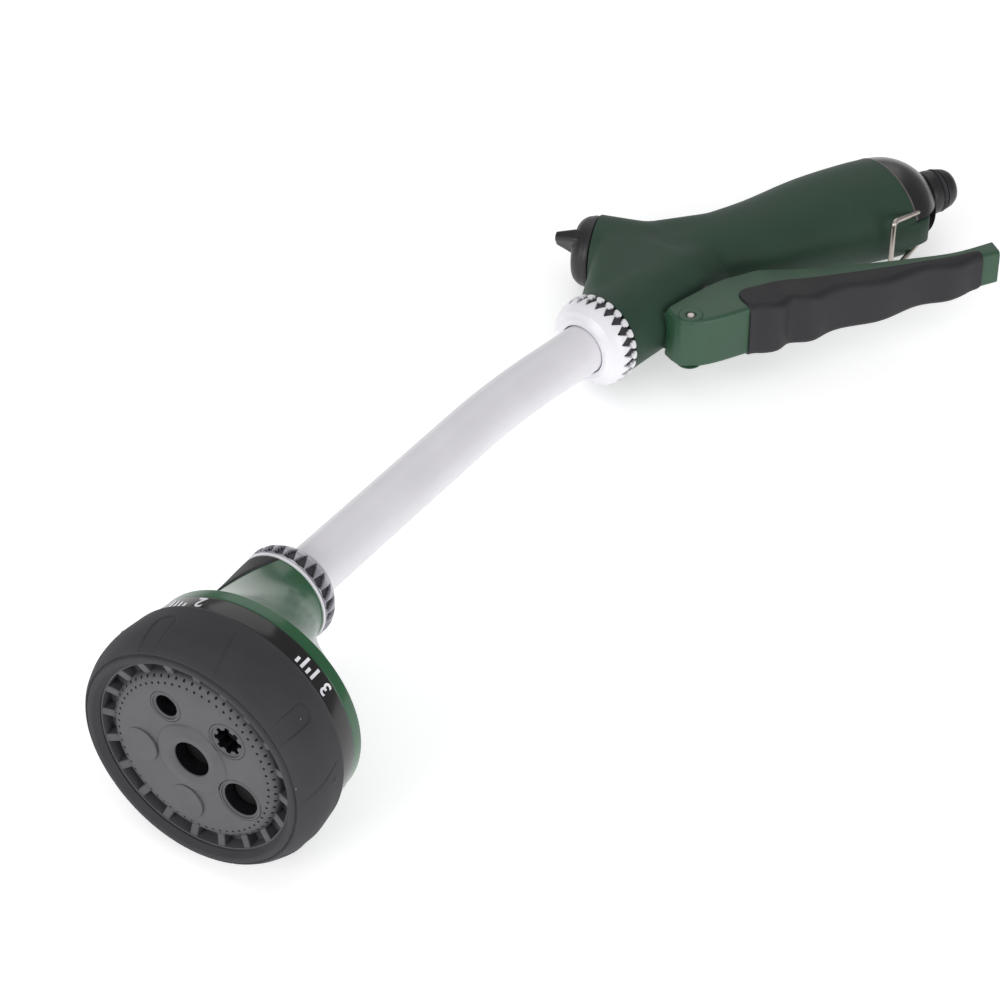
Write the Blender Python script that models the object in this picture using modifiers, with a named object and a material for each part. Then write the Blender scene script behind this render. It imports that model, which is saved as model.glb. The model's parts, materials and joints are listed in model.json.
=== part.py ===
# A garden watering wand: squeeze-lever handle with a flow knob, a bent aluminium tube and a turning spray dial.
# Sizes below are in millimetres, in the wand's own frame: the origin is the middle of the tube where it leaves
# the handle, +X runs to the spray head, +Y to the trigger, and +Z out of the left flank.
# The wand is laid down at the end, so that it rests on its own hull.

import math

import bmesh
import bpy
from mathutils import Matrix, Vector

MM = 0.001
GAP = 0.3            # clearance between pieces that touch
WALL = 2.8           # wall of the moulded housings

# Tube
TUBE_RADIUS = 9.0
TUBE_WALL = 1.0
TUBE_STRAIGHT = 31.0     # from the origin to the start of the bend
BEND_RADIUS = 306.0
BEND_ANGLE = math.radians(8.25)
TUBE_REACH = 102.7       # from the end of the bend to the head collar
SOCKET_DEPTH = 22.0      # how far the tube goes into the handle and into the head

# Collar nuts, the same part at both ends of the tube
COLLAR_RADIUS = 16.8
COLLAR_LENGTH = 11.2
COLLAR_POCKETS = 24
SPIGOT_RADIUS = 13.6
SPIGOT_LENGTH = 6.0

# Spray head. DROP is how far the dial's centre lies below the middle of the neck.
HEAD_ANGLE = math.radians(10.77)
NECK_LENGTH = 78.0
DROP = 19.0
FLANGE_RADIUS = 38.4
FLANGE_WIDTH = 4.4
DIAL_RADIUS = 42.3
DIAL_DEPTH = 23.4
BAND_RADIUS = 39.0
BAND_WIDTH = 6.8
BEZEL_RADIUS = 33.8      # inner edge of the rubber lip
FACE_RADIUS = 30.6
FACE_INSET = 1.9
PORT_CIRCLE = 18.8
PORT_STEP = math.radians(72)
PORT_START = math.radians(-8)
STAR_RADIUS = 4.8
JET_RADIUS = 3.8
STREAM_RADIUS = 5.85

# Handle
BRANCH_RADIUS = 15.6     # socket round the tube
GRIP_ANGLE = math.radians(160)    # direction in which the grip's rear end faces
REAR_HEIGHT = 23.0       # half sizes of the grip's rear end
REAR_WIDTH = 17.2
KNOB_ANGLE = math.radians(-64)    # direction in which the flow knob faces
KNOB_RADIUS = 13.4
KNOB_HEIGHT = 7.8
WING_TURN = math.radians(60)       # the wing's direction across the knob when it is open
SPOOL_RADIUS = 5.0
SPOOL_LENGTH = 38.0

# Inlet
CAP_LENGTH = 16.0
NIPPLE_RADIUS = 8.5      # standard quick-connect hose nipple
NIPPLE_NECK = 6.9
NIPPLE_LENGTH = 30.0     # end face, measured from the back of the grip
NIPPLE_BORE = 4.6

# Trigger, valve and latch
TRIGGER_WIDTH = 10.0     # half width at the pin
TAIL_WIDTH = 6.9         # half width at the tail
TRIGGER_WALL = 2.1
PIN_RADIUS = 1.5
STEM_X = -40.5
STEM_RADIUS = 2.0
STEM_TIP = 35.3          # the stem's end, from the middle of the handle socket
CHAMBER_RADIUS = 7.0
WIRE_RADIUS = 1.0
LATCH_ARM = 20.5
LATCH_WIDTH = 11.9       # half width between the latch arms' centres
LATCH_REST = math.radians(3.4)

SIDES = 28               # facets of the large round pieces
SMALL = 14               # facets of the small ones


def clear_scene():
    for item in list(bpy.data.objects):
        bpy.data.objects.remove(item)


def make_collection(name):
    group = bpy.data.collections.new(name)
    bpy.context.scene.collection.children.link(group)
    return group


def make_material(name, colour, roughness, metallic=0.0):
    material = bpy.data.materials.new(name)
    material.use_nodes = True
    shader = material.node_tree.nodes["Principled BSDF"]
    shader.inputs["Base Color"].default_value = (*colour, 1)
    shader.inputs["Roughness"].default_value = roughness
    shader.inputs["Metallic"].default_value = metallic
    material.diffuse_color = (*colour, 1)
    return material


clear_scene()
PARTS = make_collection("watering_wand")
CUTTERS = make_collection("cutters")
WAND = bpy.data.objects.new("wand", None)
PARTS.objects.link(WAND)

GREEN_SOFT = make_material("green_soft_touch", (0.012, 0.035, 0.024), 0.6)
GREEN_GLOSS = make_material("green_abs", (0.01, 0.075, 0.03), 0.3)
BLACK_RUBBER = make_material("black_rubber", (0.02, 0.02, 0.021), 0.75)
BLACK_PLASTIC = make_material("black_plastic", (0.022, 0.022, 0.024), 0.45)
BLACK_GLOSS = make_material("black_gloss", (0.005, 0.005, 0.005), 0.12)
WHITE_PLASTIC = make_material("white_plastic", (0.7, 0.7, 0.7), 0.35)
SILVER_PLASTIC = make_material("silver_plastic", (0.35, 0.35, 0.36), 0.4)
ALUMINIUM = make_material("painted_aluminium", (0.72, 0.72, 0.73), 0.4)
STEEL = make_material("steel", (0.55, 0.55, 0.55), 0.25, 1.0)
PALE_PLASTIC = make_material("acetal", (0.6, 0.6, 0.57), 0.45)


def axis_frame(x, y, angle, z=0.0):
    """A frame whose Z looks along `angle` in the wand's plane, and whose Y is the wand's own Z."""
    forward = Vector((math.cos(angle), math.sin(angle), 0))
    side = Vector((-math.sin(angle), math.cos(angle), 0))
    matrix = Matrix((side, (0, 0, 1), forward)).transposed().to_4x4()
    matrix.translation = Vector((x, y, z)) * MM
    return matrix


def lateral_frame(x, y, z=0.0):
    """A frame whose Z is the wand's own Z."""
    return Matrix.Translation(Vector((x, y, z)) * MM)


def add_object(name, mesh, frame, material, group):
    item = bpy.data.objects.new(name, mesh)
    group.objects.link(item)
    item.parent = WAND
    item.matrix_local = frame
    if material is None:
        item.hide_render = True
        item.display_type = "WIRE"
    else:
        mesh.materials.append(material)
    return item


def group_for(material):
    return CUTTERS if material is None else PARTS


def turned(name, profile, frame, material=None, steps=SMALL):
    """A profile of (radius, height) points, running down its outer side, spun round the frame's Z."""
    mesh = bpy.data.meshes.new(name)
    points = [(radius * MM, 0, height * MM) for radius, height in profile]
    edges = [(i, i + 1) for i in range(len(points) - 1)]
    if profile[0][0] > 0:
        edges.append((len(points) - 1, 0))
    mesh.from_pydata(points, edges, [])
    item = add_object(name, mesh, frame, material, group_for(material))
    spin = item.modifiers.new("spin", "SCREW")
    spin.steps = spin.render_steps = steps
    spin.use_merge_vertices = True
    spin.merge_threshold = 1e-6
    spin.use_smooth_shade = True
    return item


def arc(radius, height, bend, start, end, count=5):
    """Points on a quarter or so of a circle in a turned profile; angles in degrees, 0 outward and 90 up."""
    steps = [math.radians(start + (end - start) * i / (count - 1)) for i in range(count)]
    return [(radius + bend * math.cos(a), height + bend * math.sin(a)) for a in steps]


def ring_of(name, radius, thickness, frame, material, height=0.0, steps=SMALL):
    """An O-ring: `radius` to the middle of its round section, `thickness` across it."""
    section = arc(radius, height, thickness / 2, 90, -210, 6)
    return turned(name, section, frame, material, steps)


def rod(name, radius, low, high, frame, material=None, steps=SMALL):
    return turned(name, [(0, high), (radius, high), (radius, low), (0, low)], frame, material, steps)


def sleeve(name, outer, inner, low, high, frame, material=None, steps=SMALL):
    return turned(name, [(outer, high), (outer, low), (inner, low), (inner, high)], frame, material, steps)


def loft(name, rings, material=None, smooth=True):
    """A closed skin over rings of points that all have the same count; both ends are capped."""
    shape = bmesh.new()
    rows = [[shape.verts.new(Vector(point) * MM) for point in ring] for ring in rings]
    for near, far in zip(rows, rows[1:]):
        for i in range(len(near)):
            j = (i + 1) % len(near)
            shape.faces.new((near[i], near[j], far[j], far[i]))
    shape.faces.new(list(reversed(rows[0])))
    shape.faces.new(rows[-1])
    bmesh.ops.recalc_face_normals(shape, faces=shape.faces)
    if shape.calc_volume(signed=True) < 0:
        bmesh.ops.reverse_faces(shape, faces=shape.faces)
    mesh = bpy.data.meshes.new(name)
    shape.to_mesh(mesh)
    shape.free()
    if smooth:
        mesh.shade_smooth()
        mesh.set_sharp_from_angle(angle=math.radians(40))
    return add_object(name, mesh, Matrix(), material, group_for(material))


def block(name, size, frame, material=None, corner=0.0):
    """A box centred on the frame, with its upright edges rounded where a corner is given."""
    shape = bmesh.new()
    bmesh.ops.create_cube(shape, size=1)
    bmesh.ops.scale(shape, vec=Vector(size) * MM, verts=shape.verts)
    if corner:
        upright = [e for e in shape.edges if abs((e.verts[0].co - e.verts[1].co).normalized().z) > 0.9]
        bmesh.ops.bevel(shape, geom=upright, offset=corner * MM, segments=4, profile=0.5, affect="EDGES")
    mesh = bpy.data.meshes.new(name)
    shape.to_mesh(mesh)
    shape.free()
    return add_object(name, mesh, frame, material, group_for(material))


def wire(name, points, radius, material, resolution=2):
    """A round wire or bar through points, as a closed mesh."""
    curve = bpy.data.curves.new(name, "CURVE")
    curve.dimensions = "3D"
    curve.bevel_depth = radius * MM
    curve.bevel_resolution = resolution
    curve.use_fill_caps = True
    spline = curve.splines.new("POLY")
    spline.points.add(len(points) - 1)
    for spot, point in zip(spline.points, points):
        spot.co = (*(Vector(point) * MM), 1)
    guide = bpy.data.objects.new(name + "_guide", curve)
    CUTTERS.objects.link(guide)
    solid = bpy.data.meshes.new_from_object(guide.evaluated_get(bpy.context.evaluated_depsgraph_get()))
    bpy.data.objects.remove(guide)
    shape = bmesh.new()
    shape.from_mesh(solid)
    bmesh.ops.remove_doubles(shape, verts=shape.verts, dist=1e-6)
    bmesh.ops.recalc_face_normals(shape, faces=shape.faces)
    shape.to_mesh(solid)
    shape.free()
    solid.materials.clear()
    solid.shade_smooth()
    solid.set_sharp_from_angle(angle=math.radians(50))
    return add_object(name, solid, Matrix(), material, group_for(material))


# Solids with many crossing cuts, where the exact solver leaves open edges
DENSE = ("handle_body", "rear_cap", "trigger", "trigger_grip")


def combine(item, operation, *others):
    for other in others:
        step = item.modifiers.new(other.name, "BOOLEAN")
        step.operation = operation
        step.object = other
        step.solver = "MANIFOLD" if item.name in DENSE else "EXACT"
    return item


def cut(item, *others):
    return combine(item, "DIFFERENCE", *others)


def join(item, *others):
    return combine(item, "UNION", *others)


def in_frame(frame, x, y, z):
    """A point given in a frame, in wand millimetres."""
    return (frame @ (Vector((x, y, z)) * MM)) / MM


# Places that several pieces share
BEND_END = Vector((TUBE_STRAIGHT + BEND_RADIUS * math.sin(BEND_ANGLE), BEND_RADIUS * (1 - math.cos(BEND_ANGLE)), 0))
TUBE_DIRECTION = Vector((math.cos(BEND_ANGLE), math.sin(BEND_ANGLE), 0))
NECK_END = BEND_END + TUBE_DIRECTION * TUBE_REACH
HEAD_FORWARD = Vector((math.cos(HEAD_ANGLE), math.sin(HEAD_ANGLE), 0))
HEAD_DOWN = Vector((-math.sin(HEAD_ANGLE), math.cos(HEAD_ANGLE), 0))
RIM_CENTRE = NECK_END + HEAD_FORWARD * NECK_LENGTH + HEAD_DOWN * DROP
HEAD = axis_frame(RIM_CENTRE.x, RIM_CENTRE.y, HEAD_ANGLE)       # Z out of the dial, X towards the trigger side
HEAD_COLLAR = axis_frame(NECK_END.x, NECK_END.y, BEND_ANGLE + math.pi)
HANDLE_COLLAR = axis_frame(0, 0, 0)
REAR_CENTRE = (-134.6, 23.9)
REAR = axis_frame(*REAR_CENTRE, GRIP_ANGLE)                     # Z backwards, X towards the top of the grip
KNOB_SEAT = (-39.9, -36.4)
KNOB = axis_frame(*KNOB_SEAT, KNOB_ANGLE)
PIN = (-19.3, 24.2)
LATCH = (-133.6, 42.4)
STEM = axis_frame(STEM_X, 0, math.radians(90))                  # Z towards the trigger

BULKHEAD = -(DIAL_DEPTH + BAND_WIDTH + GAP)      # front of the shell, in the head frame


# Tube and collars

def tube_path(before, beyond):
    points = [Vector((-before, 0, 0))]
    steps = 8
    for i in range(steps + 1):
        a = BEND_ANGLE * i / steps
        points.append(Vector((TUBE_STRAIGHT + BEND_RADIUS * math.sin(a), BEND_RADIUS * (1 - math.cos(a)), 0)))
    points.append(NECK_END + TUBE_DIRECTION * beyond)
    return points


def make_tube():
    tube = wire("tube", tube_path(SOCKET_DEPTH - 1, SOCKET_DEPTH - 1), TUBE_RADIUS, ALUMINIUM, 6)
    bore = wire("tube_bore", tube_path(SOCKET_DEPTH + 1, SOCKET_DEPTH + 1), TUBE_RADIUS - TUBE_WALL, None, 6)
    return cut(tube, bore)


def pocket_cutter(name, frame):
    """Kite-shaped pockets round a collar, widest near its wide end and pointed towards the tube."""
    shape = bmesh.new()
    step = 2 * math.pi / COLLAR_POCKETS
    outer = COLLAR_RADIUS + 1.0
    inner = COLLAR_RADIUS - 1.2
    outline = [(1.0, 0.16), (2.6, 0.36), (8.4, 0.02), (2.6, -0.36), (1.0, -0.16)]
    for i in range(COLLAR_POCKETS):
        rows = []
        for radius in (inner, outer):
            row = []
            for height, share in outline:
                a = step * (i + share)
                row.append(shape.verts.new(Vector((radius * math.cos(a), radius * math.sin(a), height)) * MM))
            rows.append(row)
        low, high = rows
        shape.faces.new(low)
        shape.faces.new(list(reversed(high)))
        for j in range(len(outline)):
            k = (j + 1) % len(outline)
            shape.faces.new((low[k], low[j], high[j], high[k]))
    bmesh.ops.recalc_face_normals(shape, faces=shape.faces)
    mesh = bpy.data.meshes.new(name)
    shape.to_mesh(mesh)
    shape.free()
    return add_object(name, mesh, frame, None, CUTTERS)


def make_collar(name, frame, material):
    shoulder = COLLAR_LENGTH - 3.0
    profile = [
        (TUBE_RADIUS + 0.4, COLLAR_LENGTH),
        (TUBE_RADIUS + 2.2, COLLAR_LENGTH),
        *arc(COLLAR_RADIUS - 4.6, COLLAR_LENGTH - 3.9, 3.6, 80, 25, 3),
        (COLLAR_RADIUS, 5.6),
        (COLLAR_RADIUS, 0.5),
        (COLLAR_RADIUS - 0.5, GAP),
        (SPIGOT_RADIUS + 0.4, GAP),
        (SPIGOT_RADIUS + 0.4, shoulder),
        (TUBE_RADIUS + 0.4, shoulder),
    ]
    nut = turned(name, profile, frame, material, COLLAR_POCKETS)
    return cut(nut, pocket_cutter(name + "_pockets", frame))


def make_tube_seal(name, frame):
    low = SPIGOT_LENGTH + GAP
    high = COLLAR_LENGTH - 3.0 - GAP
    return sleeve(name, SPIGOT_RADIUS - 0.2, TUBE_RADIUS + 0.3, low, high, frame, BLACK_RUBBER)


# Spray head

FLANGE_END = -BULKHEAD + FLANGE_WIDTH      # back of the flange, behind the rim plane
NECK_RADIUS = COLLAR_RADIUS - 1.0


def neck_shape(t):
    """How far behind the rim the neck is at t (0 at the flange, 1 at the collar), its radius and its share of the drop."""
    behind = FLANGE_END + (NECK_LENGTH - FLANGE_END) * t
    radius = NECK_RADIUS + (FLANGE_RADIUS - 1.4 - NECK_RADIUS) * (1 - t) ** 1.75
    return behind, radius, (t * t * (3 - 2 * t)) ** 0.8


def neck_ring(behind, radius, drop_share, tilt_share, count=SIDES):
    """A ring of the head shell, `behind` the rim plane, moved up by its share of the drop."""
    angle = HEAD_ANGLE + (BEND_ANGLE - HEAD_ANGLE) * tilt_share
    side = Vector((-math.sin(angle), math.cos(angle), 0))
    centre = RIM_CENTRE - HEAD_FORWARD * behind - HEAD_DOWN * (DROP * drop_share)
    ring = []
    for i in range(count):
        a = 2 * math.pi * i / count
        ring.append(centre + side * (radius * math.cos(a)) + Vector((0, 0, radius * math.sin(a))))
    return ring


def neck_skin(name, inset, start, material=None, end_share=1.0):
    """The trumpet of the head: flange, then a hollow curve up to the neck."""
    rings = [neck_ring(start, FLANGE_RADIUS - inset, 0, 0)]
    if start < FLANGE_END:
        rings.append(neck_ring(FLANGE_END - 0.6, FLANGE_RADIUS - inset, 0, 0))
        rings.append(neck_ring(FLANGE_END, FLANGE_RADIUS - 0.6 - inset, 0, 0))
    steps = 7
    for i in range(1, steps + 1):
        t = end_share * i / steps
        behind, radius, rise = neck_shape(t)
        if behind > start:
            rings.append(neck_ring(behind, radius - inset, rise, t))
    return loft(name, rings, material)


def make_head_shell():
    shell = neck_skin("head_shell", 0, -BULKHEAD, GREEN_GLOSS)
    cavity = neck_skin("head_cavity", WALL, -BULKHEAD + 4.5, None, 0.52)
    spigot = rod("head_spigot", SPIGOT_RADIUS, -2, SPIGOT_LENGTH, HEAD_COLLAR)
    join(shell, spigot)
    socket = rod("head_socket", TUBE_RADIUS + GAP, -SOCKET_DEPTH, SPIGOT_LENGTH + 1, HEAD_COLLAR)
    throat = rod("head_throat", TUBE_RADIUS - TUBE_WALL, -SOCKET_DEPTH - 18, -SOCKET_DEPTH + 1, HEAD_COLLAR)
    outlet = rod("head_outlet", 6.3, BULKHEAD - 6, BULKHEAD + 1, HEAD @ Matrix.Translation(
        Vector((-PORT_CIRCLE, 0, 0)) * MM))
    pilot = rod("screw_hole", 1.9, BULKHEAD - 6, BULKHEAD + 1, HEAD)
    detent = rod("detent_hole", 2.3, BULKHEAD - 4, BULKHEAD + 1, HEAD @ Matrix.Translation(
        Vector((PORT_CIRCLE, 0, 0)) * MM))
    inlay = make_inlay_bed("inlay_bed", 1.1, 0.35)
    return cut(shell, cavity, socket, throat, outlet, pilot, detent, inlay)


def make_inlay_bed(name, depth, spread, material=None, outside=2.0):
    """The tapering panel on top of the neck: a wedge skin between two offsets of the neck."""
    rings = []
    steps = 8
    for i in range(steps + 1):
        t = 0.12 + (0.985 - 0.12) * i / steps
        behind, radius, rise = neck_shape(t)
        half = math.radians(6 + 84 * (i / steps) ** 0.85) + spread / radius
        centre = RIM_CENTRE - HEAD_FORWARD * behind - HEAD_DOWN * (DROP * rise)
        angle = HEAD_ANGLE + (BEND_ANGLE - HEAD_ANGLE) * t
        side = Vector((-math.sin(angle), math.cos(angle), 0))
        row = []
        across = 8
        for high in (True, False):
            for j in range(across + 1):
                a = half * (1 - 2 * j / across) * (1 if high else -1)
                r = radius + (outside if high else -depth)
                row.append(centre - side * (r * math.cos(a)) + Vector((0, 0, r * math.sin(a))))
        rings.append(row)
    return loft(name, rings, material)


def make_head_inlay():
    return make_inlay_bed("head_inlay", 1.1 - GAP, 0, BLACK_RUBBER, 0.5)


def port_frame(index):
    """The frame of a port on the dial; ports are counted from the top towards +Z."""
    a = PORT_START + PORT_STEP * index
    return HEAD @ Matrix.Translation(Vector((-PORT_CIRCLE * math.cos(a), PORT_CIRCLE * math.sin(a), 0)) * MM)


NOZZLES = {"jet_nozzle": (1, JET_RADIUS), "star_nozzle": (2, STAR_RADIUS), "stream_nozzle": (3, STREAM_RADIUS)}
NOZZLE_WALL = 1.7


def make_dial_face():
    """The dark plate with the ports, the channel round it and the wall that carries the grip."""
    top = -FACE_INSET
    wall = BEZEL_RADIUS + 2.2
    back = -DIAL_DEPTH + 2.0
    profile = [
        (6.0, top - 0.4),
        (6.4, top),
        (FACE_RADIUS - 1.2, top),
        *arc(FACE_RADIUS - 1.2, top - 1.2, 1.2, 90, 0, 3),
        (FACE_RADIUS, top - 5.2),
        (BEZEL_RADIUS - GAP, top - 5.2),
        (BEZEL_RADIUS - GAP, top - 0.6),
        (wall, top - 0.6),
        (wall, back),
        (wall - 2.4, back),
        (wall - 2.4, top - 7.6),
        (9.0, top - 7.6),
        (9.0, back + 3.0),
        (6.0, back + 3.0),
    ]
    face = turned("dial_face", profile, HEAD, BLACK_PLASTIC, SIDES)
    for name, (index, radius) in NOZZLES.items():
        hole = rod(name + "_hole", radius + NOZZLE_WALL, -20, 5, port_frame(index))
        cut(face, hole)
    return face


def make_nozzle(name, index, radius):
    outer = radius + NOZZLE_WALL - GAP
    top = -FACE_INSET + 0.3
    bottom = -FACE_INSET - 7.4
    if name == "star_nozzle":
        nozzle = rod(name, outer, bottom, top, port_frame(index), BLACK_PLASTIC)
        return cut(nozzle, star_cutter(port_frame(index), radius))
    step = top - 1.2
    profile = [
        (outer, top), (outer, bottom), (radius - 1.0, bottom), (radius - 1.0, step - 2.5),
        (radius, step), (radius, top),
    ]
    return turned(name, profile, port_frame(index), BLACK_PLASTIC)


def star_cutter(frame, radius):
    """An eight-pointed opening."""
    shape = bmesh.new()
    rows = []
    for height in (-20, 5):
        row = []
        for i in range(16):
            a = math.pi * i / 8
            r = radius if i % 2 == 0 else radius * 0.55
            row.append(shape.verts.new(Vector((r * math.cos(a), r * math.sin(a), height)) * MM))
        rows.append(row)
    low, high = rows
    shape.faces.new(list(reversed(low)))
    shape.faces.new(high)
    for i in range(16):
        j = (i + 1) % 16
        shape.faces.new((low[i], low[j], high[j], high[i]))
    bmesh.ops.recalc_face_normals(shape, faces=shape.faces)
    mesh = bpy.data.meshes.new("star_cutter")
    shape.to_mesh(mesh)
    shape.free()
    return add_object("star_cutter", mesh, frame, None, CUTTERS)


def make_dial_rotor():
    """The plate behind the face: its ports pass one at a time in front of the outlet seal."""
    top = -DIAL_DEPTH + 1.0
    bottom = -DIAL_DEPTH - BAND_WIDTH + 3.2
    wall = BEZEL_RADIUS + 2.0
    profile = [
        (2.6, top), (wall, top), (wall, bottom), (2.6, bottom),
    ]
    rotor = turned("dial_rotor", profile, HEAD, BLACK_PLASTIC, SIDES)
    for index in range(5):
        cut(rotor, rod(f"rotor_port_{index}", 4.2, bottom - 1, top + 1, port_frame(index)))
    return rotor


def make_dial_grip():
    """The soft ring round the dial: a flat lip, a round shoulder and a slight taper to the band."""
    profile = [
        (BEZEL_RADIUS, -0.4),
        (BEZEL_RADIUS + 0.6, 0),
        (BEZEL_RADIUS + 2.2, 0),
        *arc(DIAL_RADIUS - 6.6, -7.2, 6.6, 78, 5, 5),
        (DIAL_RADIUS, -11.5),
        (DIAL_RADIUS - 1.3, -DIAL_DEPTH + 0.9),
        (DIAL_RADIUS - 2.2, -DIAL_DEPTH),
        (BEZEL_RADIUS + 2.5, -DIAL_DEPTH),
        (BEZEL_RADIUS + 2.5, -FACE_INSET),
        (BEZEL_RADIUS, -FACE_INSET),
    ]
    return turned("dial_grip", profile, HEAD, BLACK_RUBBER, SIDES)


def make_legend_ring():
    top = -DIAL_DEPTH - GAP
    bottom = -DIAL_DEPTH - BAND_WIDTH
    return sleeve("legend_ring", BAND_RADIUS, BEZEL_RADIUS + 2.4, bottom, top, HEAD, BLACK_GLOSS, SIDES)


def make_head_hardware():
    screw_top = -DIAL_DEPTH + 5.6
    turned("dial_screw", [
        (0, screw_top), (2.6, screw_top - 0.1), (3.8, screw_top - 1.4), (3.8, screw_top - 2.2),
        (1.7, screw_top - 2.2), (1.7, BULKHEAD - 5), (0, BULKHEAD - 5.5),
    ], HEAD, STEEL)
    sleeve("screw_washer", 5.4, 2.2, screw_top - 3.4, screw_top - 2.5, HEAD, STEEL)
    seal_frame = HEAD @ Matrix.Translation(Vector((-PORT_CIRCLE, 0, 0)) * MM)
    rotor_back = -DIAL_DEPTH - BAND_WIDTH + 3.2
    turned("outlet_seal", [
        (5.9, rotor_back - GAP), (5.9, BULKHEAD - 1.2), (4.6, BULKHEAD - 1.2), (3.4, rotor_back - 2.0),
        (3.4, rotor_back - GAP),
    ], seal_frame, BLACK_RUBBER)
    coil("seal_spring", seal_frame, 5.1, 0.45, BULKHEAD - 5.2, BULKHEAD - 1.8, 3)
    detent_frame = HEAD @ Matrix.Translation(Vector((PORT_CIRCLE, 0, 0)) * MM)
    turned("detent_ball", arc(0, rotor_back - 2.3, 1.9, 90, -90, 9), detent_frame, STEEL, 16)
    coil("detent_spring", detent_frame, 1.5, 0.35, BULKHEAD - 3.3, rotor_back - 4.7, 2)
    ring_of("head_o_ring", BEZEL_RADIUS - 1.2, 1.8, HEAD, BLACK_RUBBER, rotor_back - 1.3, SIDES)


def coil(name, frame, radius, thickness, low, high, turns):
    """A compression spring along the frame's Z."""
    count = turns * 9
    points = []
    for i in range(count + 1):
        a = 2 * math.pi * turns * i / count
        height = low + thickness + (high - low - 2 * thickness) * i / count
        points.append(in_frame(frame, radius * math.cos(a), radius * math.sin(a), height))
    return wire(name, points, thickness, STEEL, 1)


# Handle

# Each grip station: middle (x, y), the direction that it faces, half height, half width
GRIP = [
    ((-47.0, -9.0), 150, 13.5, 12.6),
    ((-58.0, -6.6), 152, 15.6, 13.3),
    ((-70.0, -2.6), 154, 16.9, 13.9),
    ((-85.0, 4.0), 157, 18.5, 14.9),
    ((-107.0, 11.6), 159, 21.2, 16.4),
    ((-125.0, 19.6), 160, 22.8, 17.3),
]


def grip_ring(middle, degrees, height, width, count=SMALL + 8):
    angle = math.radians(degrees)
    up = Vector((-math.sin(angle), math.cos(angle), 0))
    ring = []
    for i in range(count):
        a = 2 * math.pi * i / count
        ring.append(Vector((*middle, 0)) + up * (height * math.cos(a)) + Vector((0, 0, width * math.sin(a))))
    return ring


def grip_skin(name, inset, first, rear_shift, material=None):
    rings = [grip_ring(m, d, h - inset, w - inset) for m, d, h, w in GRIP[first:]]
    rear = (REAR_CENTRE[0] + rear_shift * math.cos(GRIP_ANGLE), REAR_CENTRE[1] + rear_shift * math.sin(GRIP_ANGLE))
    rings.append(grip_ring(rear, math.degrees(GRIP_ANGLE), REAR_HEIGHT - inset, REAR_WIDTH - inset))
    return loft(name, rings, material)


def make_handle_body():
    body = grip_skin("handle_body", 0, 0, 0, GREEN_SOFT)
    branch = turned("branch", [
        (0, -GAP), (BRANCH_RADIUS - 0.4, -GAP), (BRANCH_RADIUS, -1.2), (BRANCH_RADIUS, -22),
        (BRANCH_RADIUS - 1.2, -44), (BRANCH_RADIUS - 4, -56), (0, -60),
    ], HANDLE_COLLAR, None, SMALL + 8)
    spigot = rod("handle_spigot", SPIGOT_RADIUS, -3, SPIGOT_LENGTH, HANDLE_COLLAR)
    boss = turned("knob_boss", [
        (0, 0), (KNOB_RADIUS - 0.3, 0), (KNOB_RADIUS, -0.8), (KNOB_RADIUS + 0.4, -18), (KNOB_RADIUS - 2, -34), (0, -36),
    ], KNOB, None, SMALL + 8)
    ear = block("pin_ear", (7.4, 18, 2 * (TRIGGER_WIDTH - TRIGGER_WALL - 0.5)),
                lateral_frame(PIN[0] + 0.4, PIN[1] - 9), None)
    ear_round = rod("pin_ear_round", 3.4, -(TRIGGER_WIDTH - TRIGGER_WALL - 0.5), TRIGGER_WIDTH - TRIGGER_WALL - 0.5,
                    lateral_frame(*PIN))
    lug = rod("latch_lug", 5.2, -5, 5, lateral_frame(*LATCH))
    lug_root = block("latch_root", (14, 8.6, 10), lateral_frame(LATCH[0] + 6.5, LATCH[1] - 1.0))
    join(body, branch, spigot, boss, ear, ear_round, lug, lug_root)

    cavity = grip_skin("grip_cavity", WALL, 2, 5)
    socket = rod("tube_socket", TUBE_RADIUS + GAP, -SOCKET_DEPTH, SPIGOT_LENGTH + 1, HANDLE_COLLAR)
    spool_bore = rod("spool_bore", SPOOL_RADIUS + GAP, -SPOOL_LENGTH - GAP, 1, KNOB)
    chamber = rod("valve_chamber", CHAMBER_RADIUS, -9, 24, STEM)
    out_port = rod("out_port", 3.2, -36, -SOCKET_DEPTH + 1, axis_frame(0, 4.8, 0))
    in_port = rod("in_port", 3.2, -72, STEM_X - 3, axis_frame(0, -5.5, 0))
    pin_hole = rod("pin_hole", PIN_RADIUS + GAP, -20, 20, lateral_frame(*PIN))
    latch_hole = rod("latch_hole", WIRE_RADIUS + GAP, -20, 20, lateral_frame(*LATCH))
    return cut(body, cavity, socket, spool_bore, chamber, out_port, in_port, pin_hole, latch_hole)


def make_knob():
    """The flow knob: a low cap with a raised wing across one side, and the spool that it turns."""
    base = GAP
    cap = turned("flow_knob", [
        (0, base + KNOB_HEIGHT), (6.5, base + KNOB_HEIGHT - 0.2), *arc(KNOB_RADIUS - 4.4, base + KNOB_HEIGHT - 4.2, 3.7, 75, 0, 4),
        (KNOB_RADIUS, base + 3.0), (KNOB_RADIUS, base + 0.5), (KNOB_RADIUS - 0.5, base), (0, base),
    ], KNOB, BLACK_PLASTIC, SMALL + 8)
    wing = block("knob_wing", (11.5, 4.2, KNOB_HEIGHT + 6.0), KNOB @ Matrix.Rotation(WING_TURN, 4, "Z") @
                 Matrix.Translation(Vector((6.3, 0, base + KNOB_HEIGHT / 2 + 3.0)) * MM), None, 1.4)
    join(cap, wing)
    stub = rod("knob_socket", 3.4, -1, 5.0, KNOB)
    return cut(cap, stub)


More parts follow.
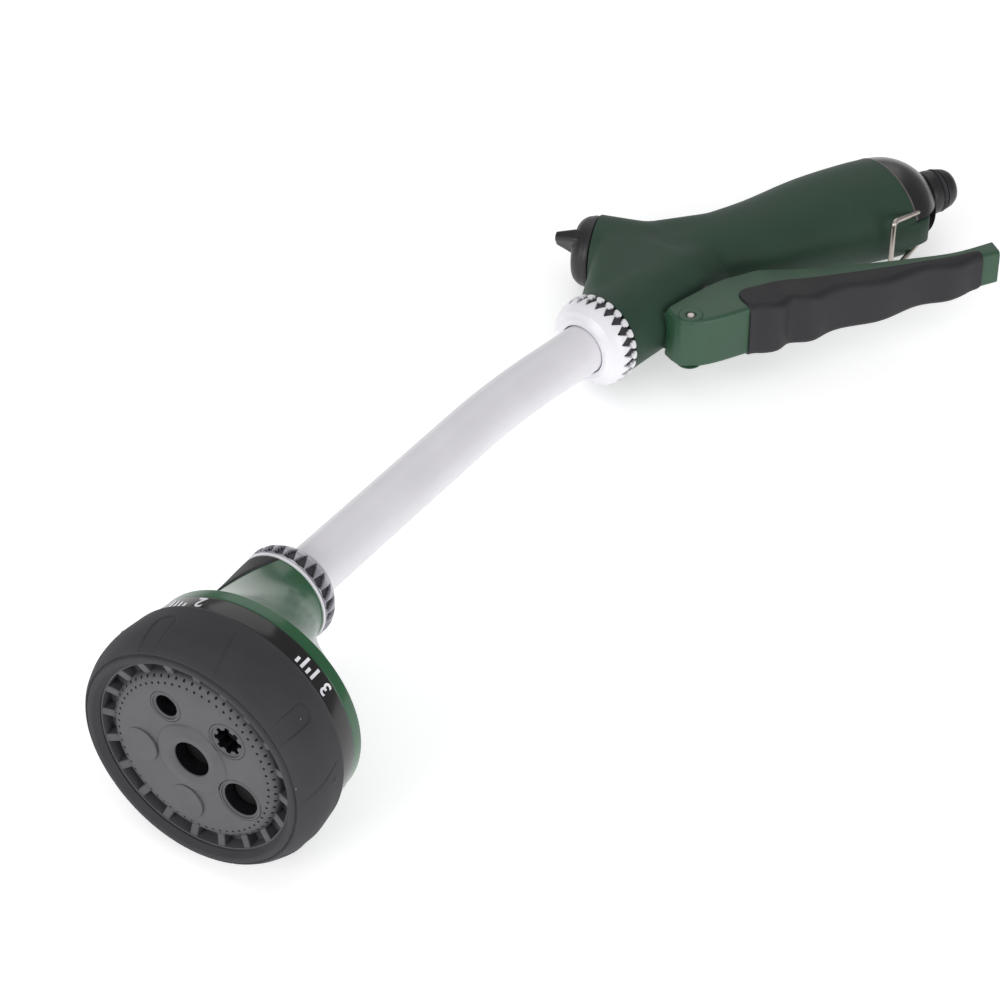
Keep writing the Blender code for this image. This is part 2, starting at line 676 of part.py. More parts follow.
def make_spool():
    groove = -4.0
    profile = [
        (0, 4.6), (3.0, 4.6), (3.0, -0.6), (SPOOL_RADIUS, -0.6), (SPOOL_RADIUS, groove + 1.2), (SPOOL_RADIUS - 1.5, groove + 1.2),
        (SPOOL_RADIUS - 1.5, groove - 1.2), (SPOOL_RADIUS, groove - 1.2), (SPOOL_RADIUS, -SPOOL_LENGTH),
        (0, -SPOOL_LENGTH),
    ]
    spool = turned("flow_spool", profile, KNOB, PALE_PLASTIC)
    spool = cut(spool, rod("spool_port", 3.2, -90, -30, axis_frame(0, -5.5, 0)))
    ring_of("spool_o_ring", SPOOL_RADIUS - 0.55, 1.4, KNOB, BLACK_RUBBER, groove)
    return spool


def make_valve():
    """The stem that the trigger pushes lifts a rubber disc off its seat against a spring."""
    sleeve("valve_seat", CHAMBER_RADIUS - GAP, 3.6, 0, 2, STEM, PALE_PLASTIC)
    sleeve("valve_disc", 5.6, STEM_RADIUS + 0.2, -2.3, -GAP, STEM, BLACK_RUBBER)
    turned("gland_nut", [
        (CHAMBER_RADIUS, 19.4), (CHAMBER_RADIUS + 0.3, 19.0), (CHAMBER_RADIUS + 0.3, 16.4), (CHAMBER_RADIUS - GAP, 16.4),
        (CHAMBER_RADIUS - GAP, 8.0), (STEM_RADIUS + GAP, 8.0), (STEM_RADIUS + GAP, 12.0),
        (4.0, 12.0), (4.0, 15.0), (STEM_RADIUS + GAP, 15.0), (STEM_RADIUS + GAP, 19.4),
    ], STEM, BLACK_PLASTIC)
    ring_of("stem_seal", 3.1, 1.5, STEM, BLACK_RUBBER, 13.5)
    turned("valve_stem", [
        (0, STEM_TIP), (1.4, STEM_TIP - 0.1), (2.6, STEM_TIP - 1.0), (2.6, STEM_TIP - 3.2),
        (STEM_RADIUS, STEM_TIP - 3.8), (STEM_RADIUS, -2.6), (3.3, -2.6), (3.3, -3.8), (0, -3.8),
    ], STEM, STEEL)
    coil("valve_spring", STEM, 4.6, 0.5, -8.7, -4.1, 3)


# Inlet

def cap_ring(behind, scale, count=SMALL + 8):
    centre = (REAR_CENTRE[0] + behind * math.cos(GRIP_ANGLE), REAR_CENTRE[1] + behind * math.sin(GRIP_ANGLE))
    return grip_ring(centre, math.degrees(GRIP_ANGLE), 8.2 + (REAR_HEIGHT - 8.2) * scale,
                     8.2 + (REAR_WIDTH - 8.2) * scale, count)


def make_rear_cap():
    steps = 7
    rings = [cap_ring(GAP, 0.965)]
    for i in range(steps + 1):
        a = math.pi / 2 * i / steps
        rings.append(cap_ring(4.0 + (CAP_LENGTH - 4.0) * math.sin(a), 0.97 * math.cos(a) ** 1.15))
    cap = loft("rear_cap", rings, BLACK_PLASTIC)
    inside = rod("cap_room", 14.6, -1, 9.5, REAR)
    bore = rod("cap_bore", NIPPLE_NECK + GAP, 5, CAP_LENGTH + 2, REAR)
    notch = block("cap_notch", (60, 40, 10 + 4 * GAP), lateral_frame(LATCH[0] - 2, LATCH[1] - 5.6 + 20) @
                  Matrix.Rotation(math.radians(-9), 4, "Z"))
    lug_room = rod("lug_room", 5.2 + 2 * GAP, -5 - 2 * GAP, 5 + 2 * GAP, lateral_frame(*LATCH))
    wire_slot = block("wire_slot", (2 * WIRE_RADIUS + 4 * GAP, 12, 40), lateral_frame(LATCH[0], LATCH[1] + 4.5))
    return cut(cap, inside, bore, notch, lug_room, wire_slot)


def make_inlet():
    """The hose nipple with its O-ring, the screen and the pipe that leads on to the flow spool."""
    end = NIPPLE_LENGTH
    groove = end - 6.2
    nipple = turned("inlet_nipple", [
        (NIPPLE_BORE, end), (NIPPLE_RADIUS - 2.0, end), (NIPPLE_RADIUS - 1.2, end - 0.8), (NIPPLE_RADIUS - 1.0, groove + 1.3),
        (NIPPLE_RADIUS - 2.4, groove + 1.3), (NIPPLE_RADIUS - 2.4, groove - 1.3),
        (NIPPLE_RADIUS - 0.9, groove - 1.3), (NIPPLE_RADIUS - 0.6, end - 9.4), (NIPPLE_RADIUS, end - 10.2),
        (NIPPLE_RADIUS, end - 11.6), (NIPPLE_NECK, end - 12.6), (NIPPLE_NECK, 9.9), (NIPPLE_NECK, 9.2),
        (12.6, 9.2), (12.6, 4.5), (NIPPLE_BORE, 4.5),
    ], REAR, BLACK_PLASTIC)
    ring_of("inlet_o_ring", NIPPLE_RADIUS - 1.25, 2.0, REAR, BLACK_RUBBER, groove)
    sleeve("inlet_washer", 11.5, 6.0, 2.6, 4.2, REAR, BLACK_RUBBER)
    turned("filter_screen", [(0, 2.2), (9.0, 2.2), (9.0, 1.5), (5.6, 1.2), (3.8, -6.5), (0, -7.2)], REAR, STEEL)
    return nipple


def make_inlet_pipe():
    start = Vector((-74.5, -5.5, 0))
    end = Vector(in_frame(REAR, 0, 0, 1.0))
    line = end - start
    angle = math.atan2(line.y, line.x)
    frame = axis_frame(start.x, start.y, angle)
    length = line.length
    pipe = turned("inlet_pipe", [
        (12.4, length), (12.4, length - 2.0), (7.2, length - 3.5), (7.2, 6.0), (4.6, 3.5), (4.6, 1.0),
        (3.2, 1.0), (3.2, 4.0), (5.4, 7.5), (5.4, length - 9.6), (9.8, length - 9.0), (9.8, length),
    ], frame, BLACK_PLASTIC)
    return pipe


# Trigger

# Each station: edge next to the handle (x, y), edge at the fingers (x, y), half width
LEVER = [
    ((-16.4, 15.4), (-14.4, 21.0), 9.2),
    ((-18.5, 15.2), (-14.9, 25.2), 10.0),
    ((-23.0, 15.4), (-18.8, 29.2), 10.0),
    ((-31.0, 16.2), (-25.6, 33.0), 10.0),
    ((-43.0, 18.0), (-36.4, 37.2), 10.0),
    ((-52.6, 21.4), (-46.5, 42.0), 9.7),
    ((-59.0, 24.4), (-54.2, 45.6), 9.5),
    ((-69.0, 33.7), (-64.6, 50.4), 9.1),
    ((-87.0, 47.6), (-82.2, 58.5), 8.4),
    ((-104.5, 60.0), (-100.2, 66.8), 7.8),
    ((-118.0, 68.3), (-114.4, 73.4), 7.3),
    ((-132.5, 73.8), (-128.8, 80.2), TAIL_WIDTH),
]
GRIP_FIRST = 5       # stations that the soft grip covers
GRIP_LAST = 10
GRIP_END = 0.55      # and how far the grip goes on from the last of them


def lever_section(top, bottom, width, corner):
    """A section of the lever: square next to the handle and rounded at the fingers."""
    top = Vector((*top, 0))
    bottom = Vector((*bottom, 0))
    down = (bottom - top).normalized()
    side = Vector((0, 0, 1))
    points = [top - side * width, top + side * width]
    steps = 4
    for i in range(steps + 1):
        a = math.pi / 2 * i / steps
        points.append(bottom - down * corner * (1 - math.sin(a)) + side * (width - corner * (1 - math.cos(a))))
    for i in range(steps, -1, -1):
        a = math.pi / 2 * i / steps
        points.append(bottom - down * corner * (1 - math.sin(a)) - side * (width - corner * (1 - math.cos(a))))
    return points


def lever_skin(name, grow_top, grow_bottom, grow_width, corner, first=0, last=None, material=None):
    rings = []
    for top, bottom, width in LEVER[first:last]:
        edge = Vector(top)
        foot = Vector(bottom)
        down = (foot - edge).normalized()
        rings.append(lever_section(edge - down * grow_top, foot + down * grow_bottom, width + grow_width, corner))
    return loft(name, rings, material)


def make_trigger():
    lever = lever_skin("trigger", 0, 0, 0, 2.6, 0, None, GREEN_GLOSS)
    hollow = lever_skin("lever_hollow", 6, -TRIGGER_WALL, -TRIGGER_WALL, 1.2, 2, len(LEVER) - 1)
    ear_room = rod("ear_room", 3.8, -(TRIGGER_WIDTH - TRIGGER_WALL), TRIGGER_WIDTH - TRIGGER_WALL, lateral_frame(*PIN))
    ear_slot = block("ear_slot", (7.9, 22, 2 * (TRIGGER_WIDTH - TRIGGER_WALL)), lateral_frame(PIN[0] + 0.25, PIN[1] - 11))
    pin_hole = rod("lever_pin_hole", PIN_RADIUS + GAP, -20, 20, lateral_frame(*PIN))
    cut(lever, hollow, ear_room, ear_slot, pin_hole)
    return lever


def make_trigger_grip():
    """The soft pad with four finger waves, wrapped round the lever's lower edge."""
    rings = []
    start = Vector(LEVER[GRIP_FIRST - 1][1])
    end = Vector(LEVER[GRIP_LAST][1]).lerp(Vector(LEVER[GRIP_LAST + 1][1]), GRIP_END)
    count = 20
    for i in range(count + 1):
        t = i / count
        top, bottom, width = lever_at(start.x + (end.x - start.x) * t)
        down = (Vector(bottom) - Vector(top)).normalized()
        wave = 1.5 - 1.1 * math.cos(2 * math.pi * 4 * t)
        taper = min(1.0, t / 0.06, (1 - t) / 0.06)
        reach = 0.9 + wave * taper
        cover = min(0.6, 0.28 + 0.4 * taper) * (Vector(bottom) - Vector(top)).length
        edge = Vector(bottom) - down * cover
        rings.append(lever_section(edge, Vector(bottom) + down * reach, width + 0.9, 3.2))
    pad = loft("trigger_grip", rings, BLACK_RUBBER)
    return cut(pad, lever_skin("pad_room", 6, GAP, GAP, 2.6))


def lever_at(x):
    """The lever's station whose finger edge is at x."""
    for (top_a, foot_a, wide_a), (top_b, foot_b, wide_b) in zip(LEVER, LEVER[1:]):
        if foot_b[0] <= x <= foot_a[0]:
            t = (foot_a[0] - x) / (foot_a[0] - foot_b[0])
            top = Vector(top_a).lerp(Vector(top_b), t)
            foot = Vector(foot_a).lerp(Vector(foot_b), t)
            return top, foot, wide_a + (wide_b - wide_a) * t
    return LEVER[-1]


def make_pin():
    half = TRIGGER_WIDTH + 0.2
    return rod("trigger_pin", PIN_RADIUS, -half, half, lateral_frame(*PIN), STEEL, 16)


def make_latch():
    """A U of wire whose ends turn into the lug; it swings over the squeezed trigger."""
    corner = 2.6
    across = LATCH_WIDTH
    points = [(0, 0, 1.2), (0, 0, across - corner)]
    points += bend_points((0, 0, across - corner), (0, 0, across), (corner, 0, across))
    points.append((LATCH_ARM - corner, 0, across))
    points += bend_points((LATCH_ARM - corner, 0, across), (LATCH_ARM, 0, across), (LATCH_ARM, 0, across - corner))
    path = points + [(x, y, -z) for x, y, z in reversed(points)]
    turn = Matrix.Rotation(LATCH_REST, 3, "Z")
    placed = [turn @ Vector(point) + Vector((*LATCH, 0)) for point in path]
    return wire("latch_wire", placed, WIRE_RADIUS, STEEL, 2)


def bend_points(start, corner, end, steps=4):
    """Points on a rounded corner, without its first point."""
    start, corner, end = Vector(start), Vector(corner), Vector(end)
    points = []
    for i in range(1, steps + 1):
        t = i / steps
        points.append(tuple(start * (1 - t) ** 2 + corner * 2 * t * (1 - t) + end * t * t))
    return points


# Laying the wand down

def solid_facts(shape):
    """Volume and centre of a closed mesh."""
    volume = 0.0
    centre = Vector()
    for face in bmesh.ops.triangulate(shape, faces=shape.faces)["faces"]:
        a, b, c = (v.co for v in face.verts)
        part = a.dot(b.cross(c)) / 6
        volume += part
        centre += (a + b + c) / 4 * part
    return volume, centre / volume


def lay_down():
    """Turns the wand onto the side of its hull that lies under its centre of mass, then centres its box."""
    depsgraph = bpy.context.evaluated_depsgraph_get()
    hull = bmesh.new()
    total = 0.0
    middle = Vector()
    for item in PARTS.objects:
        if item.type != "MESH":
            continue
        shape = bmesh.new()
        shape.from_mesh(item.evaluated_get(depsgraph).to_mesh())
        shape.transform(item.matrix_world)
        for vert in shape.verts:
            hull.verts.new(vert.co)
        volume, centre = solid_facts(shape)
        total += volume
        middle += centre * volume
        shape.free()
    middle /= total
    skin = bmesh.ops.convex_hull(hull, input=hull.verts)["geom"]
    best = None
    for face in skin:
        if not isinstance(face, bmesh.types.BMFace) or face.normal.z > -0.8:
            continue
        drop = (middle - face.verts[0].co).dot(face.normal)
        foot = middle - face.normal * drop
        corners = [v.co for v in face.verts]
        inside = all(
            (b - a).cross(foot - a).dot(face.normal) >= 0 for a, b in zip(corners, corners[1:] + corners[:1])
        )
        if inside and (best is None or abs(drop) < best[0]):
            best = (abs(drop), face.normal.copy())
    turn = best[1].rotation_difference(Vector((0, 0, -1))).to_matrix().to_4x4()
    spots = [turn @ v.co for v in hull.verts]
    low = Vector([min(s[i] for s in spots) for i in range(3)])
    high = Vector([max(s[i] for s in spots) for i in range(3)])
    hull.free()
    WAND.matrix_world = Matrix.Translation(-Vector(((low.x + high.x) / 2, (low.y + high.y) / 2, low.z))) @ turn


def build():
    make_tube()
    make_collar("head_collar", HEAD_COLLAR, SILVER_PLASTIC)
    make_collar("handle_collar", HANDLE_COLLAR, WHITE_PLASTIC)
    make_tube_seal("head_tube_seal", HEAD_COLLAR)
    make_tube_seal("handle_tube_seal", HANDLE_COLLAR)
    make_head_shell()
    make_head_inlay()
    make_dial_face()
    for name, (index, radius) in NOZZLES.items():
        make_nozzle(name, index, radius)
    make_dial_rotor()
    make_dial_grip()
    make_legend_ring()
    make_head_hardware()
    make_handle_body()
    make_knob()
    make_spool()
    make_valve()
    make_rear_cap()
    make_inlet()
    make_inlet_pipe()
    make_trigger()
    make_trigger_grip()
    make_pin()
    make_latch()
    bpy.context.view_layer.update()
    lay_down()


build()
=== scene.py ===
import json
import math
import bmesh
import bpy
from mathutils import Matrix, Vector


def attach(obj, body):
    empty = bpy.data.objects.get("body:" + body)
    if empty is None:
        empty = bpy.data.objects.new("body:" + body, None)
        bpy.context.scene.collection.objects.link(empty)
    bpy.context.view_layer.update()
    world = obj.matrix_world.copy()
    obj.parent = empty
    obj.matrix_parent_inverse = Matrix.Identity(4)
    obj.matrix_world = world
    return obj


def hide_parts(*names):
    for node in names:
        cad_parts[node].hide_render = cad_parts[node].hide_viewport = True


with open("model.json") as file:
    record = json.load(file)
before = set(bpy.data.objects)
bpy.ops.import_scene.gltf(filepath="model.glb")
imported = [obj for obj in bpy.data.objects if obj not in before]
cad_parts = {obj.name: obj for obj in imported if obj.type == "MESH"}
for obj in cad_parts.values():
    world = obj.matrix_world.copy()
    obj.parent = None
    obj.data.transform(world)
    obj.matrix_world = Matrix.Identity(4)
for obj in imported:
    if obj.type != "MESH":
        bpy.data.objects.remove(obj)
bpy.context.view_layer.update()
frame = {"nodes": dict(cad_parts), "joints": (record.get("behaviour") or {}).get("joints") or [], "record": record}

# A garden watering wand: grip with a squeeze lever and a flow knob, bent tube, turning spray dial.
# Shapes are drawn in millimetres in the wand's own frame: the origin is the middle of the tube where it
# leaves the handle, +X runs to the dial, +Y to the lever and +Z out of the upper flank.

for stray in ("Cube", "Light", "Camera"):
    if stray in bpy.data.objects:
        bpy.data.objects.remove(bpy.data.objects[stray])

mm = 0.001
gap = 0.3

places = {
    "tubeStraight": 31.0,
    "bendRadius": 306.0,
    "bendAngle": math.radians(8.25),
    "tubeReach": 102.7,
    "headAngle": math.radians(10.77),
    "neckLength": 78.0,
    "drop": 19.0,
    "rear": (-134.6, 23.9),
    "gripAngle": math.radians(160),
    "knobSeat": (-39.9, -36.4),
    "knobAngle": math.radians(-64),
    "pin": (-19.3, 24.2),
    "latch": (-133.6, 42.4),
}

# The wand's frame in the row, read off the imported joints
joints = {joint["name"]: joint for joint in frame["joints"]}
wandZ = Vector(joints["lever_squeeze"]["axis"]).normalized()
dialAxis = Vector(joints["dial_turn"]["axis"]).normalized()
wandX = Matrix.Rotation(-places["headAngle"], 3, wandZ) @ dialAxis
wandY = wandZ.cross(wandX).normalized()
wandOrigin = (Vector(joints["lever_squeeze"]["pos_m"])
              - (wandX * places["pin"][0] + wandY * places["pin"][1]) * mm)
wandToWorld = Matrix((wandX, wandY, wandZ)).transposed().to_4x4()
wandToWorld.translation = wandOrigin


def axisFrame(x, y, angle, z=0.0):
    # Z looks along the angle in the wand's plane, Y is the wand's own Z
    forward = Vector((math.cos(angle), math.sin(angle), 0))
    side = Vector((-math.sin(angle), math.cos(angle), 0))
    matrix = Matrix((side, (0, 0, 1), forward)).transposed().to_4x4()
    matrix.translation = Vector((x, y, z))
    return matrix


def flatFrame(x, y, z=0.0):
    return Matrix.Translation(Vector((x, y, z)))


def heading(angle):
    return Vector((math.cos(angle), math.sin(angle), 0))


def crossing(angle):
    return Vector((-math.sin(angle), math.cos(angle), 0))


bendEnd = Vector((
    places["tubeStraight"] + places["bendRadius"] * math.sin(places["bendAngle"]),
    places["bendRadius"] * (1 - math.cos(places["bendAngle"])), 0))
neckEnd = bendEnd + heading(places["bendAngle"]) * places["tubeReach"]
rimCentre = (neckEnd + heading(places["headAngle"]) * places["neckLength"]
             + crossing(places["headAngle"]) * places["drop"])
headFrame = axisFrame(rimCentre.x, rimCentre.y, places["headAngle"])
headCollarFrame = axisFrame(neckEnd.x, neckEnd.y, places["bendAngle"] + math.pi)
handleCollarFrame = axisFrame(0, 0, 0)
rearFrame = axisFrame(*places["rear"], places["gripAngle"])
knobFrame = axisFrame(*places["knobSeat"], places["knobAngle"])
print("frame read")


# Mesh helpers: outlines in, closed meshes out

def rounded(first, corner, last, steps):
    # The points of one rounded corner
    return [first * (1 - t) ** 2 + corner * 2 * t * (1 - t) + last * t * t
            for t in (j / steps for j in range(steps + 1))]


def easedCorners(outline, radius=0.4, steps=4, loop=True):
    # Rounds each corner of an outline of (radius, height) pairs; a third number sets one corner's own radius
    eased = []
    count = len(outline)
    for i, spot in enumerate(outline):
        here = Vector(spot[:2])
        if not loop and i in (0, count - 1):
            eased.append(tuple(here))
            continue
        back = Vector(outline[i - 1][:2])
        ahead = Vector(outline[(i + 1) % count][:2])
        wanted = spot[2] if len(spot) > 2 else radius
        cut = min(wanted, 0.45 * (back - here).length, 0.45 * (ahead - here).length)
        if cut < 0.03:
            eased.append(tuple(here))
            continue
        first = here + (back - here).normalized() * cut
        last = here + (ahead - here).normalized() * cut
        eased += [tuple(spotAt) for spotAt in rounded(first, here, last, steps)]
    return eased


def densified(outline, spacing, loop=True):
    # Adds points so that no step along the outline is longer than the spacing
    fine = []
    count = len(outline)
    for i in range(count if loop else count - 1):
        a, b = Vector(outline[i]), Vector(outline[(i + 1) % count])
        steps = max(1, math.ceil((b - a).length / spacing))
        fine += [tuple(a.lerp(b, j / steps)) for j in range(steps)]
    if not loop:
        fine.append(tuple(outline[-1]))
    return fine


def spin(outline, place, sides, shape=None):
    # Turns an outline round the frame's Z; shape(angle, radius, height) may move each point
    points, faces = [], []
    rows = len(outline)
    loop = outline[0][0] > 1e-6
    for i in range(sides):
        angle = 2 * math.pi * i / sides
        for radius, height in outline:
            if shape:
                radius, height = shape(angle, radius, height)
            points.append(place @ Vector((radius * math.cos(angle), radius * math.sin(angle), height)))
    for i in range(sides):
        k = (i + 1) % sides
        for j in range(rows if loop else rows - 1):
            m = (j + 1) % rows
            faces.append((i * rows + j, i * rows + m, k * rows + m, k * rows + j))
    return points, faces


def circleIn(place, radius, height, count=48):
    return [place @ Vector((radius * math.cos(a), radius * math.sin(a), height))
            for a in (2 * math.pi * i / count for i in range(count))]


def skin(rings, capped=True):
    # A skin over rings of equal count; capped closes both ends, otherwise the last ring joins the first
    points = [Vector(point) for ring in rings for point in ring]
    count = len(rings[0])
    faces = []
    spans = len(rings) - 1 if capped else len(rings)
    for i in range(spans):
        k = (i + 1) % len(rings)
        for j in range(count):
            m = (j + 1) % count
            faces.append((i * count + j, i * count + m, k * count + m, k * count + j))
    if capped:
        faces.append(tuple(reversed(range(count))))
        faces.append(tuple(range(len(points) - count, len(points))))
    return points, faces


def throughPoints(stations, count):
    # A smooth run of number lists through the given ones
    stations = [Vector(station) for station in stations]
    run = []
    last = len(stations) - 1
    for i in range(count + 1):
        at = last * i / count
        k = min(int(at), last - 1)
        t = at - k
        p1, p2 = stations[k], stations[k + 1]
        p0 = stations[k - 1] if k > 0 else p1 * 2 - p2
        p3 = stations[k + 2] if k + 2 <= last else p2 * 2 - p1
        run.append(0.5 * (2 * p1 + (p2 - p0) * t + (2 * p0 - 5 * p1 + 4 * p2 - p3) * t * t
                          + (3 * p1 - p0 - 3 * p2 + p3) * t ** 3))
    return run


def prism(corners, low, high, at=(0, 0)):
    # An outline in the wand's plane, moved to a place and drawn out along its Z
    return skin([[Vector((at[0] + x, at[1] + y, z)) for x, y in corners] for z in (low, high)])


def sweep(path, radius, sides, across=Vector((0, 0, 1))):
    # Rings of a round bar along a path that stays square to its own direction
    rings = []
    for i, spot in enumerate(path):
        before, after = path[max(i - 1, 0)], path[min(i + 1, len(path) - 1)]
        along = (after - before).normalized()
        side = across.cross(along)
        if side.length < 1e-3:
            side = Vector((1, 0, 0)).cross(along)
        side.normalize()
        up = along.cross(side)
        across = up
        rings.append([spot + side * (radius * math.cos(a)) + up * (radius * math.sin(a))
                      for a in (2 * math.pi * j / sides for j in range(sides))])
    return rings


def toWand(spot, place):
    # A finished piece's point, back in a frame's own millimetres
    return place.inverted() @ ((wandToWorld.inverted() @ Vector(spot)) / mm)


def makeSolid(name, shape):
    # One closed mesh from points in the wand's millimetres, its faces looking out
    points, faces = shape
    work = bmesh.new()
    verts = [work.verts.new(wandToWorld @ (Vector(point) * mm)) for point in points]
    for face in faces:
        if len(set(face)) > 2:
            work.faces.new([verts[i] for i in face])
    bmesh.ops.remove_doubles(work, verts=work.verts, dist=1e-6)
    bmesh.ops.recalc_face_normals(work, faces=work.faces)
    if work.calc_volume(signed=True) < 0:
        bmesh.ops.reverse_faces(work, faces=work.faces)
    mesh = bpy.data.meshes.new(name)
    work.to_mesh(mesh)
    work.free()
    item = bpy.data.objects.new(name, mesh)
    bpy.context.scene.collection.objects.link(item)
    return item


def settled(item):
    # Applies the modifiers
    bpy.context.view_layer.update()
    mesh = bpy.data.meshes.new_from_object(item.evaluated_get(bpy.context.evaluated_depsgraph_get()))
    item.modifiers.clear()
    item.data = mesh
    return item


def combined(item, operation, *others, solver="EXACT"):
    # Cuts or adds the other solids, and removes them
    for other in others:
        step = item.modifiers.new("step", "BOOLEAN")
        step.operation = operation
        step.object = other
        step.solver = solver
    settled(item)
    for other in others:
        bpy.data.objects.remove(other)
    return item


def melted(item, voxel, rounds):
    # One skin over overlapping solids, with its inner corners filled like those of a moulding
    remesh = item.modifiers.new("skin", "REMESH")
    remesh.mode = "VOXEL"
    remesh.voxel_size = voxel * mm
    soften = item.modifiers.new("soften", "SMOOTH")
    soften.factor = 0.5
    soften.iterations = rounds
    return settled(item)


def joined(shapes):
    # Several shapes as one list of points and faces
    points, faces = [], []
    for shapePoints, shapeFaces in shapes:
        start = len(points)
        points += shapePoints
        faces += [tuple(i + start for i in face) for face in shapeFaces]
    return points, faces


def trimmed(item, place, height=0.0):
    # Cuts off what stands beyond a plane across the frame, and closes the cut
    work = bmesh.new()
    work.from_mesh(item.data)
    spot = wandToWorld @ (place @ Vector((0, 0, height)) * mm)
    normal = (wandToWorld.to_3x3() @ (place.to_3x3() @ Vector((0, 0, 1)))).normalized()
    bmesh.ops.bisect_plane(work, geom=work.verts[:] + work.edges[:] + work.faces[:], dist=1e-7,
                           plane_co=spot, plane_no=normal, clear_outer=True)
    rim = [edge for edge in work.edges if edge.is_boundary]
    bmesh.ops.holes_fill(work, edges=rim, sides=0)
    bmesh.ops.recalc_face_normals(work, faces=work.faces)
    work.to_mesh(item.data)
    work.free()
    return item


def dress(item, material, body, nodes=(), sharp=38):
    # Gives a finished piece its material, its body and the solids that it stands for
    item.data.materials.clear()
    item.data.materials.append(material)
    item.data.polygons.foreach_set("material_index", [0] * len(item.data.polygons))
    item.data.shade_smooth()
    item.data.set_sharp_from_angle(angle=math.radians(sharp))
    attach(item, body)
    if nodes:
        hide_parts(*nodes)
    return item


def darkened(item, material, place, test):
    # A second, darker material on the faces whose middle passes a test in the frame's own millimetres: painted shade
    # in recesses
    item.data.materials.append(material)
    for face in item.data.polygons:
        spot = toWand(face.center, place)
        if test(spot, math.hypot(spot.x, spot.y)):
            face.material_index = 1


# Materials

def linear(hexColour):
    channels = [int(hexColour[i:i + 2], 16) / 255 for i in (1, 3, 5)]
    return tuple(c / 12.92 if c <= 0.04045 else ((c + 0.055) / 1.055) ** 2.4 for c in channels) + (1.0,)


def addNode(material, kind, settings=None, **links):
    node = material.node_tree.nodes.new(kind)
    for key, value in (settings or {}).items():
        if key in node.inputs:
            node.inputs[key].default_value = value
        else:
            setattr(node, key, value)
    for key, source in links.items():
        material.node_tree.links.new(source, node.inputs[key.replace("_", " ")])
    return node


def perMetre(size):
    # A pattern's frequency from its real size in millimetres
    return 1000.0 / size


def finish(name, look):
    # Base colour and roughness follow a soft cloud, the relief a fine grain; dust and stretch are extras
    material = bpy.data.materials.new(name)
    material.use_nodes = True
    shader = material.node_tree.nodes["Principled BSDF"]
    for key, value in look.get("shader", {}).items():
        shader.inputs[key].default_value = value
    spot = addNode(material, "ShaderNodeTexCoord")
    where = spot.outputs["Object"]
    if "stretch" in look:
        where = addNode(material, "ShaderNodeMapping", {"Scale": look["stretch"]}, Vector=where).outputs["Vector"]
    cloud = addNode(material, "ShaderNodeTexNoise", {"Scale": perMetre(look["cloudSize"]), "Detail": 3.0},
                    Vector=where)
    tint = addNode(material, "ShaderNodeValToRGB", {}, Fac=cloud.outputs["Fac"])
    tint.color_ramp.elements[0].position, tint.color_ramp.elements[1].position = 0.32, 0.68
    tint.color_ramp.elements[0].color = linear(look["colours"][0])
    tint.color_ramp.elements[1].color = linear(look["colours"][1])
    colour = tint.outputs["Color"]
    if "dust" in look:
        # Specks: small round spots round some of the pattern's points
        dust = look["dust"]
        cell = addNode(material, "ShaderNodeTexVoronoi", {"Scale": perMetre(dust["spacing"])},
                       Vector=spot.outputs["Object"])
        spotMask = addNode(material, "ShaderNodeMapRange",
                           {"From Min": dust["share"] * 0.6, "From Max": dust["share"], "To Min": dust["strength"],
                            "To Max": 0.0}, Value=cell.outputs["Distance"])
        dusty = addNode(material, "ShaderNodeMix", {"data_type": "RGBA"})
        material.node_tree.links.new(spotMask.outputs["Result"], dusty.inputs[0])
        material.node_tree.links.new(colour, dusty.inputs[6])
        dusty.inputs[7].default_value = linear(dust["colour"])
        colour = dusty.outputs[2]
    material.node_tree.links.new(colour, shader.inputs["Base Color"])
    grain = addNode(material, "ShaderNodeTexNoise", {"Scale": perMetre(look["grainSize"]), "Detail": 2.0},
                    Vector=where)
    sheen = addNode(material, "ShaderNodeMapRange",
                    {"From Min": 0.3, "From Max": 0.7, "To Min": look["roughness"][0], "To Max": look["roughness"][1]},
                    Value=cloud.outputs["Fac"])
    material.node_tree.links.new(sheen.outputs["Result"], shader.inputs["Roughness"])
    relief = addNode(material, "ShaderNodeBump",
                     {"Strength": look["grainStrength"], "Distance": look["grainDepth"] * mm},
                     Height=grain.outputs["Fac"])
    material.node_tree.links.new(relief.outputs["Normal"], shader.inputs["Normal"])
    return material


# Soft-touch paint over moulded ABS: a dry, slightly cloudy green with a broad dull sheen
softTouchGreen = finish("softTouchPaintedAbs", {
    "colours": ("#263f31", "#2a4536"), "cloudSize": 14, "grainSize": 0.5, "grainStrength": 0.25, "grainDepth": 0.05,
    "roughness": (0.56, 0.64), "shader": {"IOR": 1.46, "Specular IOR Level": 0.45}})
# ABS moulded in a polished tool: clear green with soft-edged bright reflections and faint flow waves
mouldedGreen = finish("polishMouldedGreenAbs", {
    "colours": ("#1c5331", "#215a37"), "cloudSize": 22, "grainSize": 1.6, "grainStrength": 0.06, "grainDepth": 0.05,
    "roughness": (0.24, 0.27), "shader": {"IOR": 1.54, "Coat Weight": 0.2, "Coat Roughness": 0.12}})
# The same ABS moulded in a spark-eroded tool: duller, so the lever only shows its light in one soft patch
erodedGreen = finish("texturedGreenAbs", {
    "colours": ("#264a33", "#2b5139"), "cloudSize": 12, "grainSize": 0.5, "grainStrength": 0.2, "grainDepth": 0.05,
    "roughness": (0.4, 0.48), "shader": {"IOR": 1.54}})
